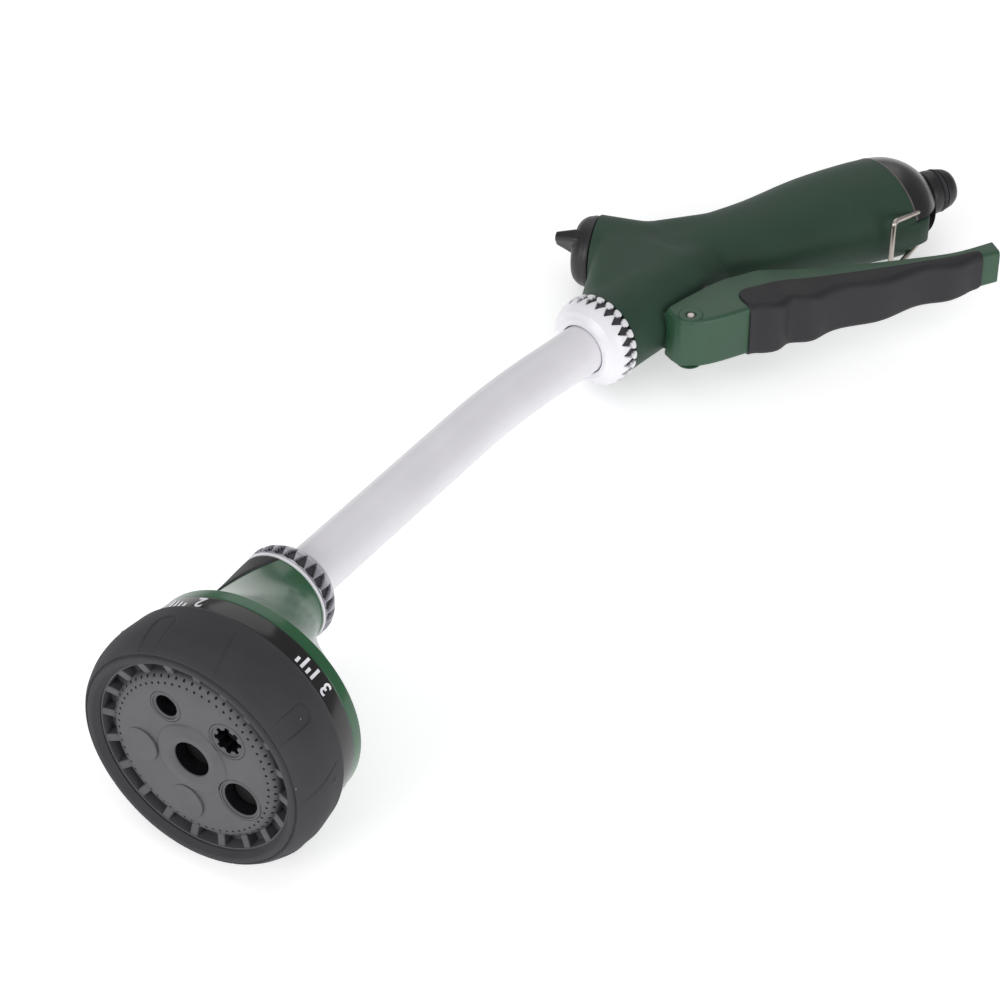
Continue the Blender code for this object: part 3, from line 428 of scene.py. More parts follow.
# Moulded thermoplastic elastomer: charcoal, dull and dry, with a few specks of dust that it holds
elastomer = finish("mouldedElastomer", {
    "colours": ("#343337", "#3b3a3e"), "cloudSize": 9, "grainSize": 0.45, "grainStrength": 0.35, "grainDepth": 0.06,
    "roughness": (0.72, 0.84), "shader": {"IOR": 1.5, "Specular IOR Level": 0.4},
    "dust": {"spacing": 9, "share": 0.035, "strength": 0.55, "colour": "#a09ea0"}})
# Elastomer pad on the lever and panel on the neck: a darker compound, moulded smoother
padElastomer = finish("mouldedPadElastomer", {
    "colours": ("#1c1b1f", "#222126"), "cloudSize": 9, "grainSize": 0.45, "grainStrength": 0.25, "grainDepth": 0.05,
    "roughness": (0.58, 0.68), "shader": {"IOR": 1.5}})
# Grey-black ABS from a fine spark-eroded tool: even, satin, a shade lighter than the elastomer
facePlastic = finish("texturedCharcoalAbs", {
    "colours": ("#4a494d", "#525155"), "cloudSize": 8, "grainSize": 0.4, "grainStrength": 0.22, "grainDepth": 0.04,
    "roughness": (0.5, 0.58), "shader": {"IOR": 1.54}})
# Black nylon with glass, moulded: near black, with a tight satin sheen
blackPlastic = finish("mouldedBlackNylon", {
    "colours": ("#18171a", "#1e1d20"), "cloudSize": 7, "grainSize": 0.5, "grainStrength": 0.2, "grainDepth": 0.04,
    "roughness": (0.4, 0.48), "shader": {"IOR": 1.53}})
# Black ABS from a polished tool: deep black with clear reflections; also laid on the walls of the centre well and the
# ports as painted shade
glossBlackAndWellShade = finish("polishedBlackAbsAndWellShade", {
    "colours": ("#121114", "#171619"), "cloudSize": 12, "grainSize": 2.0, "grainStrength": 0.03, "grainDepth": 0.05,
    "roughness": (0.14, 0.2), "shader": {"IOR": 1.54}})
# Near-black dull discs at the bottom of the wells: painted shade, so dark that a well reads as an opening
wellShade = finish("paintedWellShade", {
    "colours": ("#0d0d0f", "#131214"), "cloudSize": 6, "grainSize": 0.5, "grainStrength": 0.15, "grainDepth": 0.04,
    "roughness": (0.6, 0.7), "shader": {"IOR": 1.5, "Specular IOR Level": 0.3}})
# Polypropylene, moulded: black, and glossy enough to take one broad pale light on its shoulder
capPlastic = finish("mouldedBlackPolypropylene", {
    "colours": ("#151417", "#1a191c"), "cloudSize": 9, "grainSize": 0.8, "grainStrength": 0.08, "grainDepth": 0.04,
    "roughness": (0.27, 0.33), "shader": {"IOR": 1.49, "Coat Weight": 0.3, "Coat Roughness": 0.25}})
# White ABS, moulded and half polished: cool white with soft highlights
whitePlastic = finish("mouldedWhiteAbs", {
    "colours": ("#eae9ee", "#f0eff4"), "cloudSize": 10, "grainSize": 1.0, "grainStrength": 0.05, "grainDepth": 0.05,
    "roughness": (0.28, 0.35), "shader": {"IOR": 1.54}})
# ABS with a silver vacuum coat under lacquer: grey, with a metallic lift on its edges
silverPlastic = finish("silverCoatedAbs", {
    "colours": ("#a3a1a9", "#b1afb7"), "cloudSize": 10, "grainSize": 0.5, "grainStrength": 0.1, "grainDepth": 0.04,
    "roughness": (0.3, 0.38), "shader": {"Metallic": 0.55}})
# Aluminium tube with a satin white powder coat: a faint orange-peel surface and a few scuffs
powderCoat = finish("powderCoatedAluminium", {
    "colours": ("#e4e2e7", "#ebe9ee"), "cloudSize": 25, "grainSize": 1.3, "grainStrength": 0.12, "grainDepth": 0.05,
    "roughness": (0.34, 0.42), "shader": {"IOR": 1.5},
    "dust": {"spacing": 26, "share": 0.02, "strength": 0.35, "colour": "#8d8474"}})
# Painted shade at the bottom of the nut's pockets: nearly black
pocketShade = finish("paintedPocketShade", {
    "colours": ("#2e2d33", "#3a393f"), "cloudSize": 4, "grainSize": 0.5, "grainStrength": 0.2, "grainDepth": 0.04,
    "roughness": (0.5, 0.6), "shader": {"IOR": 1.54}})
# Drawn stainless wire and turned pins: fine lines along the metal and a bright stretched highlight
steel = finish("drawnStainlessSteel", {
    "colours": ("#b3aaa2", "#c9c1b9"), "cloudSize": 6, "grainSize": 0.3, "stretch": (1.0, 1.0, 0.12),
    "grainStrength": 0.25, "grainDepth": 0.02, "roughness": (0.26, 0.38), "shader": {"Metallic": 1.0}})
# Painted highlight along the seam: a greyed line with a dull shine
seamHighlight = finish("paintedSeamHighlight", {
    "colours": ("#5c5654", "#6d6663"), "cloudSize": 5, "grainSize": 0.5, "grainStrength": 0.1, "grainDepth": 0.02,
    "roughness": (0.35, 0.45), "shader": {"IOR": 1.43}})
# Natural acetal: milky white, waxy
acetal = finish("mouldedAcetal", {
    "colours": ("#dcdad2", "#e4e2da"), "cloudSize": 10, "grainSize": 0.6, "grainStrength": 0.1, "grainDepth": 0.03,
    "roughness": (0.36, 0.44), "shader": {"IOR": 1.48, "Subsurface Weight": 0.1}})
# White pad-printing ink: flat, opaque, slightly uneven at its edges
legendInk = finish("padPrintedInk", {
    "colours": ("#eceaf2", "#f6f5fa"), "cloudSize": 3, "grainSize": 0.4, "grainStrength": 0.15, "grainDepth": 0.02,
    "roughness": (0.45, 0.55), "shader": {"IOR": 1.5}})
slotFinish = {
    "green_soft_touch": softTouchGreen, "green_abs": mouldedGreen, "black_rubber": elastomer,
    "black_plastic": blackPlastic, "black_gloss": glossBlackAndWellShade, "white_plastic": whitePlastic,
    "silver_plastic": silverPlastic, "painted_aluminium": powderCoat, "steel": steel, "acetal": acetal,
}
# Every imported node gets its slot's finish; the visible ones are replaced below by finer pieces
slotOf = {part["node"]: part["material_slot"] for part in frame["record"]["subparts"]}
for nodeName, node in frame["nodes"].items():
    node.data.materials.clear()
    node.data.materials.append(slotFinish[slotOf[nodeName]])
print("materials made")


# Tube: one gentle bend between two straight runs
tubeSizes = {"radius": 9.0, "wall": 1.0, "socket": 21.0, "sides": 96, "bendSteps": 40}


def tubeLine(before, beyond):
    line = [Vector((-before, 0, 0)), Vector((places["tubeStraight"] * 0.5, 0, 0))]
    for i in range(tubeSizes["bendSteps"] + 1):
        a = places["bendAngle"] * i / tubeSizes["bendSteps"]
        line.append(Vector((places["tubeStraight"] + places["bendRadius"] * math.sin(a),
                            places["bendRadius"] * (1 - math.cos(a)), 0)))
    line.append(neckEnd - heading(places["bendAngle"]) * 30)
    line.append(neckEnd + heading(places["bendAngle"]) * beyond)
    return line


tubeRun = tubeLine(tubeSizes["socket"], tubeSizes["socket"])
outside = sweep(tubeRun, tubeSizes["radius"], tubeSizes["sides"])
inside = sweep(tubeRun, tubeSizes["radius"] - tubeSizes["wall"], tubeSizes["sides"])
dress(makeSolid("bentTube", skin(outside + inside[::-1], capped=False)), powderCoat, "handle", ["tube"])
print("tube made")


# Collar nuts: pockets round the wide end that point to the tube
collarSizes = {
    "radius": 16.8, "length": 11.2, "pockets": 24, "depth": 1.3, "sides": 24 * 22, "spigot": 13.6, "tube": 9.4,
    "spacing": 0.22, "headSkew": 0.035,
}


def pocketHalf(height, kind):
    # Half width of a pocket at a height, as a share of the spacing: a neck, a shoulder and a long point
    marks = {
        "handle": [(0.2, 0.2), (1.2, 0.12), (2.0, 0.2), (3.1, 0.46), (3.6, 0.42), (6.6, 0.03), (6.7, 0.0)],
        "head": [(0.55, 0.0), (0.8, 0.43), (1.8, 0.4), (6.9, 0.03), (7.0, 0.0)],
    }[kind]
    if height <= marks[0][0] or height >= marks[-1][0]:
        return 0.0
    for (h0, w0), (h1, w1) in zip(marks, marks[1:]):
        if h0 <= height <= h1:
            return w0 + (w1 - w0) * (height - h0) / (h1 - h0)
    return 0.0


def makeCollar(name, place, kind, shellFinish, node):
    radius, length = collarSizes["radius"], collarSizes["length"]
    spigot, tube = collarSizes["spigot"], collarSizes["tube"]
    # the tube side: a round lip about the tube, then a shoulder that the head's nut carries further back
    slope = 1.6 if kind == "head" else 0.0
    outline = easedCorners([
        (tube, length - slope * 0.5, 0.3), (tube + 2.1, length - slope * 0.5, 0.8),
        (tube + 2.7, length - 0.6 - slope * 0.5, 0.3), (radius - 2.6, length - 1.7 - slope, 2.0),
        (radius - 0.5, length - 4.6 - slope, 2.4), (radius, gap + 2.4, 1.5), (radius - 0.2, gap, 0.7),
        (spigot + 0.4, gap, 0.2), (spigot + 0.4, length - 3.2), (tube, length - 3.2)], 0.3)
    fine = densified(outline, collarSizes["spacing"])
    step = 2 * math.pi / collarSizes["pockets"]
    skew = 0.0 if kind == "handle" else collarSizes["headSkew"]

    def pocketShare(angle, h):
        # place across the nearest pocket's spacing, from -0.5 to 0.5
        return ((angle / step + skew * h) % 1.0) - 0.5

    def pocketShape(angle, r, h):
        if r < spigot + 0.6:
            return r, h
        share = pocketShare(angle, h)
        half = pocketHalf(h, kind)
        inner = max(0.0, min(1.0, (half - abs(share)) / 0.055 + 0.5)) if half > 0.015 else 0.0
        # between the pockets' necks the rear edge swells into round studs
        stud = 0.25 * math.cos(2 * math.pi * share) * max(0.0, 1 - h / 2.6) if kind == "handle" else 0.0
        return r - collarSizes["depth"] * inner - 0.1 - stud * 0.5, h

    def inPocket(spot, radial):
        half = pocketHalf(spot.z, kind)
        share = pocketShare(math.atan2(spot.y, spot.x), spot.z)
        return radial > spigot + 0.7 and half > 0.015 and abs(share) < half - 0.01

    item = makeSolid(name, spin(fine, place, collarSizes["sides"], pocketShape))
    dress(item, shellFinish, "handle", [node], 50)
    # the faces in the pockets take the near-black finish as painted shade
    darkened(item, pocketShade, place, inPocket)


makeCollar("headCollarNut", headCollarFrame, "head", silverPlastic, "head_collar")
makeCollar("handleCollarNut", handleCollarFrame, "handle", whitePlastic, "handle_collar")
# Thin white washer between the head's neck and its nut, and the dark line where the tube enters each nut
washerSizes = {"outer": 16.3, "inner": 13.9, "thickness": 0.9}
sealSizes = {"inner": 9.02, "outer": 9.38, "front": 10.3, "back": 8.5}
dress(makeSolid("neckWasher", spin(easedCorners([
    (washerSizes["inner"], 0.15), (washerSizes["outer"], 0.15), (washerSizes["outer"], -washerSizes["thickness"]),
    (washerSizes["inner"], -washerSizes["thickness"])], 0.25), headCollarFrame, 160)), whitePlastic, "handle")
for name, place in (("handleTubeSeal", handleCollarFrame), ("headTubeSeal", headCollarFrame)):
    dress(makeSolid(name, spin(easedCorners([
        (sealSizes["inner"], sealSizes["front"]), (sealSizes["outer"], sealSizes["front"]),
        (sealSizes["outer"], sealSizes["back"]), (sealSizes["inner"], sealSizes["back"])], 0.05), place, 96)),
        elastomer, "handle")
print("collars made")


# Spray head: flange, trumpet neck and the soft panel on top of it
headSizes = {
    "flangeRadius": 38.4, "flangeWidth": 4.4, "dialDepth": 23.4, "bandWidth": 6.8, "neckRadius": 15.8,
    "endRadius": 13.4, "sides": 160,
}
bulkhead = headSizes["dialDepth"] + headSizes["bandWidth"] + gap
flangeEnd = bulkhead + headSizes["flangeWidth"]


def neckShape(t):
    # Distance behind the rim, radius and share of the drop, from the flange (0) to the nut (1)
    behind = flangeEnd + (places["neckLength"] - flangeEnd) * t
    flare = headSizes["flangeRadius"] - 1.4 - headSizes["neckRadius"]
    radius = headSizes["neckRadius"] + flare * (1 - t) ** 1.75
    return behind, radius, (t * t * (3 - 2 * t)) ** 0.8 if t > 0 else 0.0


def neckPoint(behind, radius, rise, tilt, around):
    turn = places["headAngle"] + (places["bendAngle"] - places["headAngle"]) * tilt
    centre = (rimCentre - heading(places["headAngle"]) * behind
              - crossing(places["headAngle"]) * (places["drop"] * rise))
    return centre + crossing(turn) * (radius * math.cos(around)) + Vector((0, 0, radius * math.sin(around)))


def neckRing(behind, radius, rise=0.0, tilt=0.0):
    return [neckPoint(behind, radius, rise, tilt, 2 * math.pi * i / headSizes["sides"])
            for i in range(headSizes["sides"])]


flangeOutline = easedCorners([
    (bulkhead, headSizes["flangeRadius"] - 4), (bulkhead, headSizes["flangeRadius"], 0.5),
    (flangeEnd - 0.1, headSizes["flangeRadius"], 0.9), (flangeEnd + 0.2, headSizes["flangeRadius"] - 1.1)],
    0.4, 5, loop=False)
rings = [neckRing(behind, radius) for behind, radius in flangeOutline]
for i in range(2, 61):
    t = i / 60
    behind, radius, rise = neckShape(t)
    rings.append(neckRing(behind - 0.35 * (t > 0.999), radius - 0.1, rise, t))
# The last ring is drawn in the nut's frame, so its points are matched to those of the one before it
lastRing = circleIn(headCollarFrame, headSizes["endRadius"], -gap, headSizes["sides"])
rings.append([min(lastRing, key=lambda spot: (spot - mate).length_squared) for mate in rings[-1]])
dress(makeSolid("trumpetNeck", skin(rings)), mouldedGreen, "handle", ["head_shell"], 50)

inlaySizes = {"start": 0.13, "end": 0.978, "rows": 60, "across": 60, "proud": 0.4, "deep": 0.8}


def inlayHalf(share):
    return math.radians(5 + 86 * share ** 0.85)


inlayRings = []
for i in range(inlaySizes["rows"] + 1):
    share = i / inlaySizes["rows"]
    t = inlaySizes["start"] + (inlaySizes["end"] - inlaySizes["start"]) * share
    behind, radius, rise = neckShape(t)
    half = inlayHalf(share)
    row = []
    for j in range(inlaySizes["across"] + 1):
        side = 1 - 2 * j / inlaySizes["across"]
        edge = min(1.0, (1 - abs(side)) * half * radius / 0.8, share * 30, (1 - share) * 30)
        lift = inlaySizes["proud"] * math.sqrt(max(0.0, 1 - (1 - edge) ** 2)) - 0.12 * (1 - edge)
        row.append(neckPoint(behind, radius + lift, rise, t, math.pi + half * side))
    for j in range(inlaySizes["across"] + 1):
        side = -1 + 2 * j / inlaySizes["across"]
        row.append(neckPoint(behind, radius - inlaySizes["deep"], rise, t, math.pi + half * side))
    inlayRings.append(row)
dress(makeSolid("neckPanel", skin(inlayRings)), padElastomer, "handle", ["head_inlay"], 55)
print("spray head made")


# Dial: plate with its ports, channel with ribs, soft ring and printed band
dialSizes = {
    "radius": 42.3, "depth": 23.4, "lip": 33.8, "face": 30.6, "inset": 1.9, "portCircle": 18.8,
    "portStart": math.radians(-8), "portStep": math.radians(72), "boss": 12.6, "centreHole": 6.1,
    "jet": 3.8, "star": 4.8, "stream": 5.85, "portWall": 1.7, "holeRows": (27.05, 29.0), "holesPerRow": 64,
    "holeRadius": 0.45, "ribs": 20, "ribStart": math.radians(-13), "ribWidth": 2.7, "ribLow": 3.9, "ribHigh": 2.6,
    "blankRadius": 6.0, "blankLean": math.radians(-4.2), "sides": 256,
}


def onDial(angle, radius, depth=0.0):
    # Angles run from the top of the dial towards the upper flank
    return headFrame @ Matrix.Translation(Vector((-radius * math.cos(angle), radius * math.sin(angle), depth)))


faceTop = -dialSizes["inset"]
boss, lip, faceRadius, centreHole = (dialSizes[key] for key in ("boss", "lip", "face", "centreHole"))
dialBack, dialRadius = -dialSizes["depth"], dialSizes["radius"]
plate = makeSolid("dialPlate", spin(easedCorners([
    (centreHole, faceTop + 0.45, 0.5), (boss - 4.2, faceTop + 1.0, 2.0), (boss - 0.4, faceTop + 0.35, 0.6),
    (boss, faceTop - 0.1, 0.3), (boss + 0.6, faceTop, 0.3), (25.2, faceTop, 2.5), (28.4, faceTop - 0.75, 1.6),
    (faceRadius - 0.6, faceTop - 2.2, 1.2), (faceRadius - 0.4, faceTop - 5.2, 0.3), (lip - gap, faceTop - 5.2, 0.3),
    (lip - gap, faceTop - 0.6, 0.2), (lip + 2.1, faceTop - 0.6, 0.2), (lip + 2.1, dialBack + 2.0),
    (lip - 0.2, dialBack + 2.0), (lip - 0.2, faceTop - 7.6), (9.0, faceTop - 7.6), (9.0, dialBack + 5.0),
    (centreHole, dialBack + 5.0)], 0.3), headFrame, dialSizes["sides"]))
portRadii = {1: dialSizes["jet"], 2: dialSizes["star"], 3: dialSizes["stream"]}
bores = []
for index, radius in portRadii.items():
    angle = dialSizes["portStart"] + dialSizes["portStep"] * index
    reach = radius + dialSizes["portWall"]
    bores.append(spin([(0, 5), (reach, 5), (reach, -20), (0, -20)], onDial(angle, dialSizes["portCircle"]), 72))
for row, rowRadius in enumerate(dialSizes["holeRows"]):
    for i in range(dialSizes["holesPerRow"]):
        angle = 2 * math.pi * (i + 0.5 * row) / dialSizes["holesPerRow"]
        bores.append(spin([(0, 1), (dialSizes["holeRadius"], 1), (dialSizes["holeRadius"], -3.2), (0, -3.2)],
                          onDial(angle, rowRadius, faceTop), 10))
combined(plate, "DIFFERENCE", makeSolid("bores", joined(bores)))
dress(plate, facePlastic, "dial", ["dial_face"], 35)
# Next to no light reaches the centre well, so its walls take the polished black as painted shade
darkened(plate, glossBlackAndWellShade, headFrame,
         lambda spot, radial: spot.z < faceTop - 1.0 and radial < centreHole + 0.4)


def makePort(name, index, radius, node, lobes=0):
    # A stepped ring round an opening; lobes gives the opening round teeth
    place = onDial(dialSizes["portStart"] + dialSizes["portStep"] * index, dialSizes["portCircle"])
    outer = radius + dialSizes["portWall"] - 0.12
    top = faceTop + 0.28

    def toothed(angle, r, h):
        if not lobes or r > radius + 0.3:
            return r, h
        wave = math.cos(lobes * angle)
        return r * (1 - 0.22 * (0.5 - 0.5 * math.tanh(4 * wave))), h

    base = faceTop - 7.3
    rim = [(outer, top - 0.25, 0.25), (outer - 0.8, top, 0.2), (outer - 0.9, top - 0.5, 0.1)]
    if lobes:
        bore = [(radius + 0.1, top - 0.6, 0.1), (radius, top - 0.7, 0.1), (radius, base)]
    else:
        bore = [(radius, top - 0.6, 0.3), (radius - 0.35, top - 4.0, 0.3), (radius - 0.6, base)]
    outline = easedCorners(rim + bore + [(outer, base)], 0.15 if lobes else 0.2)
    ring = dress(makeSolid(name, spin(outline, place, 192 if lobes else 96, toothed)), facePlastic, "dial", [node],
                 35)
    # the walls down the opening take the polished black as painted shade
    darkened(ring, glossBlackAndWellShade, place, lambda spot, radial: spot.z < top - 0.9 and radial < radius + 0.25)
    # dark disc well below the opening: painted shade
    reach = radius * 0.74 if lobes else radius - 0.75
    dress(makeSolid(name + "Web", spin(easedCorners([
        (0, faceTop - 4.6), (reach, faceTop - 4.6), (reach, faceTop - 6.9), (0, faceTop - 6.9)],
        0.2, loop=False), place, 48)), wellShade, "dial")


# A dark disc down the centre hole: painted shade, so that the hole reads as an opening
wellRadius = centreHole - 0.15
dress(makeSolid("centreWell", spin(easedCorners([
    (0, faceTop - 5.2), (wellRadius, faceTop - 5.2), (wellRadius, faceTop - 6.4), (0, faceTop - 6.4)],
    0.2, loop=False), headFrame, 64)), wellShade, "dial")
makePort("jetPort", 1, dialSizes["jet"], "jet_nozzle")
makePort("starPort", 2, dialSizes["star"], "star_nozzle", 8)
makePort("streamPort", 3, dialSizes["stream"], "stream_nozzle")
for index in (0, 4):
    # the blank discs lean: flush on one side, proud on the other
    place = (onDial(dialSizes["portStart"] + dialSizes["portStep"] * index, dialSizes["portCircle"], faceTop)
             @ Matrix.Rotation(dialSizes["blankLean"], 4, "Y"))
    dress(makeSolid(f"blankPort{index}", spin(easedCorners([
        (0, 0.42), (dialSizes["blankRadius"], 0.42, 0.25), (dialSizes["blankRadius"] + 0.05, -0.9), (0, -0.9)],
        0.3, loop=False), place, 96)), facePlastic, "dial")
# Ribs across the channel: small ramps with eased edges
ribs = []
near, far, half = faceRadius - 0.9, lip + 0.3, dialSizes["ribWidth"] / 2
for i in range(dialSizes["ribs"]):
    angle = dialSizes["ribStart"] + 2 * math.pi * i / dialSizes["ribs"]
    points = []
    for top, eased in ((None, 0.0), (0.25, 0.0), (0.0, 0.25)):
        ring = []
        side = half - eased
        for r, y in ((near, -side), (far, -side), (far, side), (near, side)):
            # the rib's top climbs from the plate's rim to the lip
            depth = faceTop - 5.3 if top is None else -dialSizes["ribLow" if r == near else "ribHigh"] - top
            x = -r * math.cos(angle) - y * math.sin(angle)
            z = r * math.sin(angle) - y * math.cos(angle)
            ring.append(headFrame @ Vector((x, z, depth)))
        points.append(ring)
    ribs.append(skin(points))
dress(makeSolid("channelRibs", joined(ribs)), facePlastic, "dial", sharp=30)

# Soft ring: five shallow lobes, each with a moulded slot mark, and a crease between lobes
ringSizes = {
    "lobes": 5, "lobeHeight": 0.45, "markAngle": math.radians(143), "creaseAngle": math.radians(104),
    "pipAngle": math.radians(108), "markDepth": 0.4, "markHalf": math.radians(4.4), "markFrom": -2.6,
    "markTo": -15.2, "lineWidth": 0.38, "markRadius": 41.5,
}


def around(angle, centre):
    # Signed distance along the ring to the nearest of the repeats, in radians
    span = 2 * math.pi / ringSizes["lobes"]
    return (angle - centre + span / 2) % span - span / 2


def ringShape(angle, r, h):
    if r < lip + 3.0:
        return r, h
    fromTop = math.pi - angle
    markRadius = ringSizes["markRadius"]
    weight = min(1.0, max(0.0, (r - lip - 3.0) / 4))
    lobe = 0.5 - 0.5 * math.cos(ringSizes["lobes"] * (fromTop - ringSizes["markAngle"]))
    r -= ringSizes["lobeHeight"] * weight * lobe
    aside = around(fromTop, ringSizes["markAngle"])
    length = ringSizes["markFrom"] - ringSizes["markTo"]
    arm = ringSizes["markHalf"] * markRadius
    # outline of a slot that is round at its rear end and open at the lip
    along, across = h - ringSizes["markTo"], aside * markRadius
    reach = math.hypot(min(0.0, along - arm), across) if along < arm else abs(across)
    line = abs(reach - arm)
    cut = 0.0
    if along < length + 1.5:
        cut = max(0.0, 1 - (line / ringSizes["lineWidth"]) ** 2)
    pad = 0.25 * max(0.0, min(1.0, (arm - reach) / 0.8)) * min(1.0, max(0.0, (length + 2 - along) / 2))
    crease = around(fromTop, ringSizes["creaseAngle"] + 0.05 * (h + 8) / 8) * markRadius
    if h < -0.5:
        fade = 0.8 if h > -17 else max(0.0, 1 - (-17 - h) / 2) * 0.8
        cut = max(cut, max(0.0, 1 - (crease / 0.5) ** 2) * fade)
    # a small pip beside each crease shows where the finger rests
    pip = math.hypot(around(fromTop, ringSizes["pipAngle"]) * markRadius, (h + 16) * 0.7)
    return r - (ringSizes["markDepth"] * cut + pad - 0.4 * math.exp(-(pip / 0.8) ** 2)) * weight, h


gripOutline = easedCorners([
    (lip + 1.1, -0.9, 0.6), (lip + 1.9, 0.0, 0.7), (lip + 3.4, 0.0, 0.9), (lip + 3.95, -1.25, 0.2),
    (lip + 4.6, -0.75, 0.5), (dialRadius - 2.6, -2.4, 1.4), (dialRadius - 0.6, -7.0, 3.2),
    (dialRadius - 0.1, -12.5, 3.0), (dialRadius - 1.2, dialBack + 1.6, 1.0), (dialRadius - 2.4, dialBack, 0.6),
    (lip + 2.5, dialBack), (lip + 2.5, faceTop - 0.2), (lip + 0.05, faceTop - 0.2, 0.2)], 0.3, 6)
dress(makeSolid("softDialRing", spin(densified(gripOutline, 0.45), headFrame, 720, ringShape)), elastomer, "dial",
      ["dial_grip"], 60)

bandSizes = {
    "radius": 39.0, "inner": 36.2, "markHeight": 4.4, "markStep": 2.25, "barWidth": 1.05, "inkDepth": 0.06,
    "numeralShift": 7.0, "barShift": -0.8,
}
bandMiddle = dialBack - gap - (headSizes["bandWidth"] - gap) / 2
dress(makeSolid("legendBand", spin(easedCorners([
    (bandSizes["radius"], dialBack - gap, 0.35), (bandSizes["radius"] - 0.15, -bulkhead + gap, 0.35),
    (bandSizes["inner"], -bulkhead + gap), (bandSizes["inner"], dialBack - gap)], 0.3),
    headFrame, dialSizes["sides"])), glossBlackAndWellShade, "dial", ["legend_ring"])
# Position marks: a numeral and a row of plain bars, printed round the band
barHeights = ((1, 1, 1, 1), (0.4, 0.6, 0.8, 1), (1, 0.5, 1, 0.5), (1, 0.75, 0.5, 0.25), (0.5, 1, 1, 0.5))
prints = []
for index in range(5):
    centreAngle = math.pi - (dialSizes["portStart"] + dialSizes["portStep"] * index)
    curve = bpy.data.curves.new("numeral", "FONT")
    curve.body = str(index + 1)
    curve.size = bandSizes["markHeight"] * 1.45
    curve.extrude = bandSizes["inkDepth"]
    curve.offset = 0.11
    curve.resolution_u = 6
    carrier = bpy.data.objects.new("numeral", curve)
    bpy.context.scene.collection.objects.link(carrier)
    bpy.context.view_layer.update()
    glyph = bpy.data.meshes.new_from_object(carrier.evaluated_get(bpy.context.evaluated_depsgraph_get()))
    spots = [vert.co.copy() for vert in glyph.vertices]
    middle = (max(s.y for s in spots) + min(s.y for s in spots)) / 2
    left = min(s.x for s in spots)
    flat = [(s.x - left - bandSizes["numeralShift"], s.y - middle, s.z) for s in spots]
    shapes = [(flat, [tuple(face.vertices) for face in glyph.polygons])]
    bpy.data.objects.remove(carrier)
    for bar, share in enumerate(barHeights[index]):
        x0 = bandSizes["barShift"] + bandSizes["markStep"] * bar
        x1 = x0 + bandSizes["barWidth"]
        y1 = bandSizes["markHeight"] / 2
        y0 = y1 - bandSizes["markHeight"] * share
        shapes.append(prism([(x0, y0), (x1, y0), (x1, y1), (x0, y1)], -bandSizes["inkDepth"], bandSizes["inkDepth"]))
    for shapePoints, shapeFaces in shapes:
        wrapped = []
        for x, y, z in shapePoints:
            a = centreAngle + x / bandSizes["radius"]
            r = bandSizes["radius"] + 0.02 + z
            wrapped.append(headFrame @ Vector((r * math.cos(a), r * math.sin(a), bandMiddle + y)))
        prints.append((wrapped, shapeFaces))
dress(makeSolid("bandPrint", joined(prints)), legendInk, "dial", sharp=50)
print("dial made")


# Handle housing: grip, socket for the tube and seat of the knob, melted into one moulding
handleSizes = {
    "grip": [
        (-38.0, -10.4, 148, 11.0, 11.4), (-47.0, -9.0, 150, 13.5, 12.6), (-58.0, -6.6, 152, 15.6, 13.3),
        (-70.0, -2.6, 154, 16.9, 13.9), (-85.0, 4.0, 157, 18.5, 14.9), (-107.0, 11.6, 159, 21.2, 16.4),
        (-125.0, 19.6, 160, 22.8, 17.3), (-134.6, 23.9, 160, 23.0, 17.2)],
    "branch": 15.6, "knobRadius": 13.4, "voxel": 0.85, "rounds": 55,  # branch: the socket that takes the tube
}


def gripRing(x, y, degrees, height, width, count=72):
    up = crossing(math.radians(degrees))
    return [Vector((x, y, 0)) + up * (height * math.cos(a)) + Vector((0, 0, width * math.sin(a)))
            for a in (2 * math.pi * i / count for i in range(count))]


gripRun = throughPoints(handleSizes["grip"], 56)
gripRings = [gripRing(*station) for station in gripRun]
rearWay = heading(places["gripAngle"])
tail = handleSizes["grip"][-1]
for extra in (3.0, 8.0):
    gripRings.append(gripRing(tail[0] + rearWay.x * extra, tail[1] + rearWay.y * extra, *tail[2:]))
branch = handleSizes["branch"]
knobR = handleSizes["knobRadius"]


def hullOf(rings):
    # The tight skin round several rings, which fills the wedge between two of the housing's arms
    work = bmesh.new()
    for ring in rings:
        for spot in ring:
            work.verts.new(spot)
    bmesh.ops.convex_hull(work, input=work.verts)
    bmesh.ops.delete(work, geom=[v for v in work.verts if not v.link_faces], context="VERTS")
    work.verts.index_update()
    shape = [v.co.copy() for v in work.verts], [tuple(v.index for v in face.verts) for face in work.faces]
    work.free()
    return shape


housing = makeSolid("handleHousing", joined([
    skin(gripRings),
    hullOf([circleIn(knobFrame, knobR - 0.5, -2.5), circleIn(knobFrame, knobR - 0.6, -12),
            circleIn(handleCollarFrame, branch - 0.6, -3.5), circleIn(handleCollarFrame, branch - 0.5, -42)]),
    hullOf([circleIn(knobFrame, knobR - 1.2, -11), circleIn(knobFrame, knobR - 2, -30),
            gripRing(*throughPoints(handleSizes["grip"], 14)[6])]),
    spin([(0, 8), (branch + 0.1, 8), (branch + 0.15, -1), (branch + 0.1, -22), (branch - 1.2, -44),
          (branch - 4, -56), (0, -60)], handleCollarFrame, 96),
    spin([(0, 8), (knobR + 0.6, 8), (knobR + 0.7, 0), (knobR + 0.5, -18), (knobR - 2, -34), (0, -36)], knobFrame, 96),
]))
melted(housing, handleSizes["voxel"], handleSizes["rounds"])
trimmed(housing, handleCollarFrame, -gap)
trimmed(housing, knobFrame, 0.0)
trimmed(housing, rearFrame, 0.0)
dress(housing, softTouchGreen, "handle", ["handle_body"], 60)

